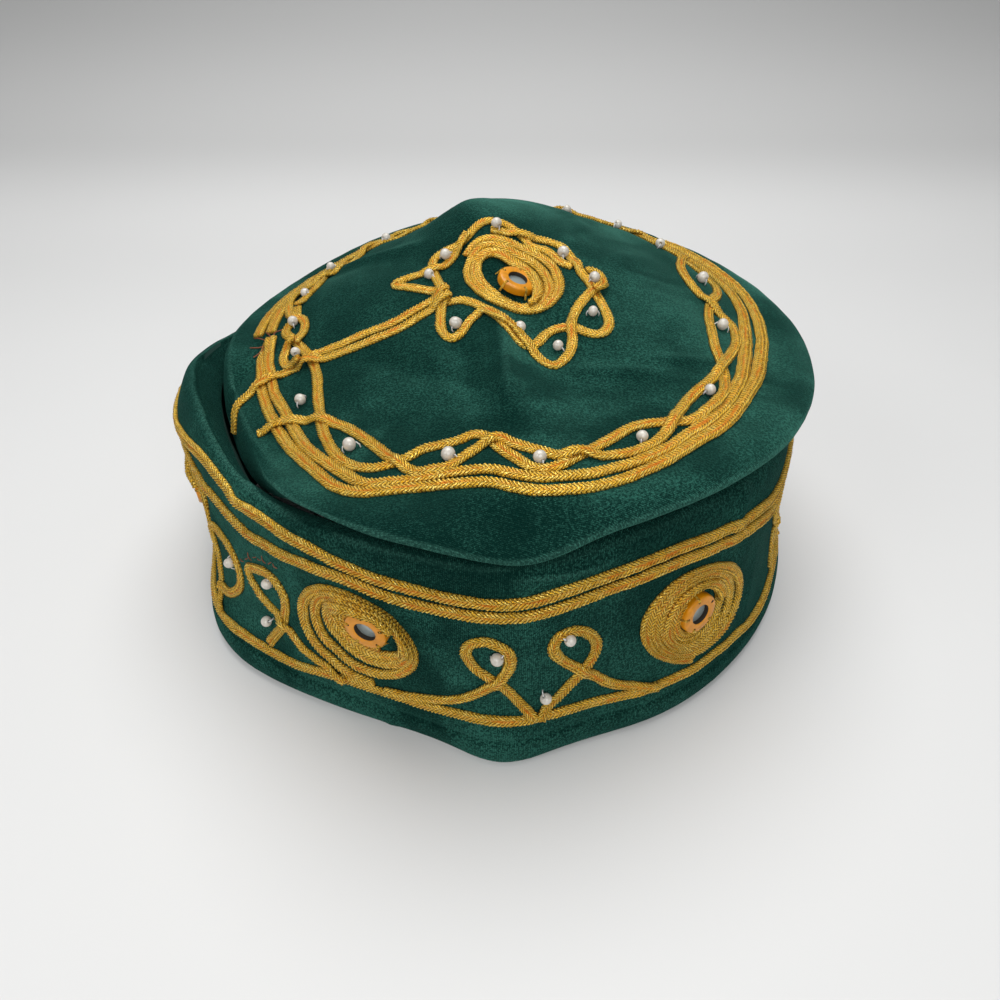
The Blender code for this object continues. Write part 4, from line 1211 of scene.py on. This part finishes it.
class HAT_OT_pearls(bpy.types.Operator):
    """Sew the seed pearls into the eyes of the braid"""
    bl_idname = "hat.pearls"
    bl_label = "Seed pearls"

    def execute(self, context):
        settings = context.scene.hat_beads
        radius = settings.pearl_width / 2
        beads, threads = bmesh.new(), bmesh.new()
        for index, (find, first, second) in enumerate(self.spots()):
            place, normal = find(first, second)
            size = radius * (1 + 0.10 * math.sin(index * 5.1))
            fit = upright(place, normal, index * 2.4 + 0.6)
            bead = bead_shape(size, 0.22 * math.sin(index * 3.3))
            bead.transform(fit @ Matrix.Translation((0.0, 0.0, size * 0.93)))
            bmesh.ops.recalc_face_normals(bead, faces=bead.faces)
            merge_into(beads, bead)
            for way in (-1, 1):
                reach = size * (1.22 + 0.18 * math.sin(index * 2.2 + way))
                points = [(way * size * 0.5, 0, size * 0.93), (way * size * 1.0, 0, size * 0.9),
                          (way * (size + reach) * 0.56, 0.1 * size, size * 0.45),
                          (way * reach, 0.25 * size, -0.1 * size)]
                tube(threads, [fit @ Vector(point) for point in points], 0.17 * MM, 5)
        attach(add_piece("seed_pearls", beads, pearl_material(settings)), "root")
        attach(add_piece("pearl_threads", threads, thread_material("white_thread", *WHITE_THREAD)), "root")
        return {"FINISHED"}

    def spots(self):
        """Where each pearl is sewn: the way to find the velvet there, and its two flat places."""
        surface = PIECES["surface"]
        spots = []
        for index, angle in enumerate(PAIR_ANGLES):
            for number, (along, height) in enumerate(SLIPPED_PEARLS if index == LEFT_PAIR else LOOP_PEARLS):
                if index == RIGHT_PAIR and number != 1:
                    continue                              # two pearls have come off here
                shift = 0.0
                if index not in MEASURED_PAIRS:
                    shift = 0.6 * waver(along * MM, height * MM, index * 0.7, 9.0)
                turn = angle + math.degrees((along + shift) / WALL_RADIUS)
                spots.append((surface.on_band, turn, height + shift))
        return spots + [(surface.on_crown, x, y) for x, y in FLOWER_PEARLS + WAVE_PEARLS]


class HAT_OT_loose_ends(bpy.types.Operator):
    """Leave the old stitches and frayed threads where braid has come away"""
    bl_idname = "hat.loose_ends"
    bl_label = "Loose ends"

    def execute(self, context):
        surface = PIECES["surface"]
        threads = bmesh.new()
        for number, (angle, height) in enumerate(LOST_STITCHES):
            lean = 0.9 * math.sin(number * 2.3)
            points = []
            for share in (-1.0, -0.5, 0.0, 0.5, 1.0):
                place, normal = surface.on_band(angle + share * 0.55, height + share * lean)
                points.append(place + normal * (0.30 - 0.42 * share * share) * MM)
            tube(threads, points, 0.12 * MM, 5)
        for number, (x, y, end_x, end_y) in enumerate(FRAYED_ENDS):
            points = []
            for step in range(7):
                share = step / 6
                bow = 0.9 * math.sin(share * 3.0 + number) * share
                across, along = x + (end_x - x) * share + bow, y + (end_y - y) * share - bow
                place, normal = surface.on_crown(across, along)
                lift = 1.2 - 0.9 * share + 0.3 * math.sin(number * 1.7 + share * 5)
                points.append(place + normal * lift * MM)
            tube(threads, points, 0.16 * MM, 5)
        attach(add_piece("loose_threads", threads, thread_material("rust_thread", *RUST_THREAD)), "root")
        return {"FINISHED"}


# Stage

TABLE_REACH = 5.0                        # m to each side and in front
COVE_START, COVE_RADIUS = 0.25, 0.42     # m, where the table turns up into the backdrop
BACKDROP_TOP = 3.0                       # m
CAMERA_PLACE = (0.00087, -0.20384, 0.169)
CAMERA_TILT = 52.0                       # degrees up from looking straight down
LENS, SENSOR = 27.04, 36.0               # mm
# Lamps: name, place, height that they aim at, share of the overhead lamp's power, and width.
LAMPS = (
    ("overhead", (0.0, 0.16, 0.78), 0.03, 1.0, 0.7),
    ("window", (-0.60, -0.45, 0.55), 0.04, 0.26, 0.4),
    ("room", (0.12, -0.72, 0.52), 0.04, 0.62, 0.6),
)


class HAT_OT_stage(bpy.types.Operator):
    """Set out the white table, the backdrop, the lamps and the camera"""
    bl_idname = "hat.stage"
    bl_label = "Stage"

    def execute(self, context):
        settings = context.scene.hat_stage
        scene = context.scene
        self.table(settings)
        for name, place, aim, share, size in LAMPS:
            self.lamp(scene, name, place, aim, settings.key_power * share, size)
        camera = bpy.data.cameras.new("camera")
        camera.sensor_width = SENSOR
        camera.lens = LENS
        camera.clip_start = 0.01
        camera.clip_end = 20.0
        item = bpy.data.objects.new("camera", camera)
        item.location = CAMERA_PLACE
        item.rotation_euler = (math.radians(CAMERA_TILT), 0.0, 0.0)
        scene.collection.objects.link(item)
        scene.camera = item
        world = bpy.data.worlds.new("room")
        world.use_nodes = True
        ground = world.node_tree.nodes["Background"]
        ground.inputs["Color"].default_value = (0.96, 0.98, 1.0, 1.0)
        ground.inputs["Strength"].default_value = settings.sky
        scene.world = world
        scene.view_settings.view_transform = "Standard"
        return {"FINISHED"}

    def table(self, settings):
        """A white sheet that turns up behind the hat."""
        shape = bmesh.new()
        profile = [(-TABLE_REACH, 0.0), (-0.4, 0.0), (0.0, 0.0), (COVE_START - 0.01, 0.0)]
        for step in range(1, 31):
            bend = math.radians(90 * step / 30)
            y, z = COVE_START + COVE_RADIUS * math.sin(bend), COVE_RADIUS - COVE_RADIUS * math.cos(bend)
            profile.append((y, z))
        profile.append((COVE_START + COVE_RADIUS, BACKDROP_TOP))
        verts = [shape.verts.new((-TABLE_REACH, y, z)) for y, z in profile]
        edges = [shape.edges.new(pair) for pair in zip(verts, verts[1:])]
        drawn = bmesh.ops.extrude_edge_only(shape, edges=edges)["geom"]
        bmesh.ops.translate(shape, verts=[item for item in drawn if isinstance(item, bmesh.types.BMVert)],
                            vec=(2 * TABLE_REACH, 0.0, 0.0))
        bmesh.ops.recalc_face_normals(shape, faces=shape.faces)
        if sum(face.normal.z for face in shape.faces) < 0:
            bmesh.ops.reverse_faces(shape, faces=shape.faces)
        add_piece("white_table", shape, table_material(settings))

    def lamp(self, scene, name, place, aim, power, size):
        lamp = bpy.data.lights.new(name, "AREA")
        lamp.energy = power
        lamp.shape = "DISK"
        lamp.size = size
        item = bpy.data.objects.new(name, lamp)
        item.location = place
        item.rotation_euler = (Vector((0.0, 0.0, aim)) - Vector(place)).to_track_quat("-Z", "Y").to_euler()
        scene.collection.objects.link(item)


class HAT_PT_panel(bpy.types.Panel):
    """Steps of the hat, in order"""
    bl_label = "Velvet hat"
    bl_idname = "HAT_PT_panel"
    bl_space_type = "VIEW_3D"
    bl_region_type = "UI"
    bl_category = "Hat"

    def draw(self, context):
        layout = self.layout
        for name in STEPS:
            layout.operator(f"hat.{name}")
        for group in (context.scene.hat_velvet, context.scene.hat_braid, context.scene.hat_beads,
                      context.scene.hat_stage):
            box = layout.box()
            for key in group.bl_rna.properties.keys():
                if key not in ("rna_type", "name"):
                    box.prop(group, key)


STEPS = ("velvet", "band_braids", "crown_braids", "mirrors", "pearls", "loose_ends", "stage")
GROUPS = {"hat_velvet": HatVelvet, "hat_braid": HatBraid, "hat_beads": HatBeads, "hat_stage": HatStage}
CLASSES = (HatVelvet, HatBraid, HatBeads, HatStage, HAT_OT_velvet, HAT_OT_band_braids, HAT_OT_crown_braids,
           HAT_OT_mirrors, HAT_OT_pearls, HAT_OT_loose_ends, HAT_OT_stage, HAT_PT_panel)


def register():
    for item in CLASSES:
        bpy.utils.register_class(item)
    for name, group in GROUPS.items():
        setattr(bpy.types.Scene, name, PointerProperty(type=group))


def unregister():
    for name in GROUPS:
        delattr(bpy.types.Scene, name)
    for item in reversed(CLASSES):
        bpy.utils.unregister_class(item)


def main():
    register()
    bpy.ops.hat.velvet()
    bpy.ops.hat.band_braids()
    bpy.ops.hat.crown_braids()
    bpy.ops.hat.mirrors()
    bpy.ops.hat.pearls()
    bpy.ops.hat.loose_ends()
    bpy.ops.hat.stage()


if __name__ == "__main__":
    main()
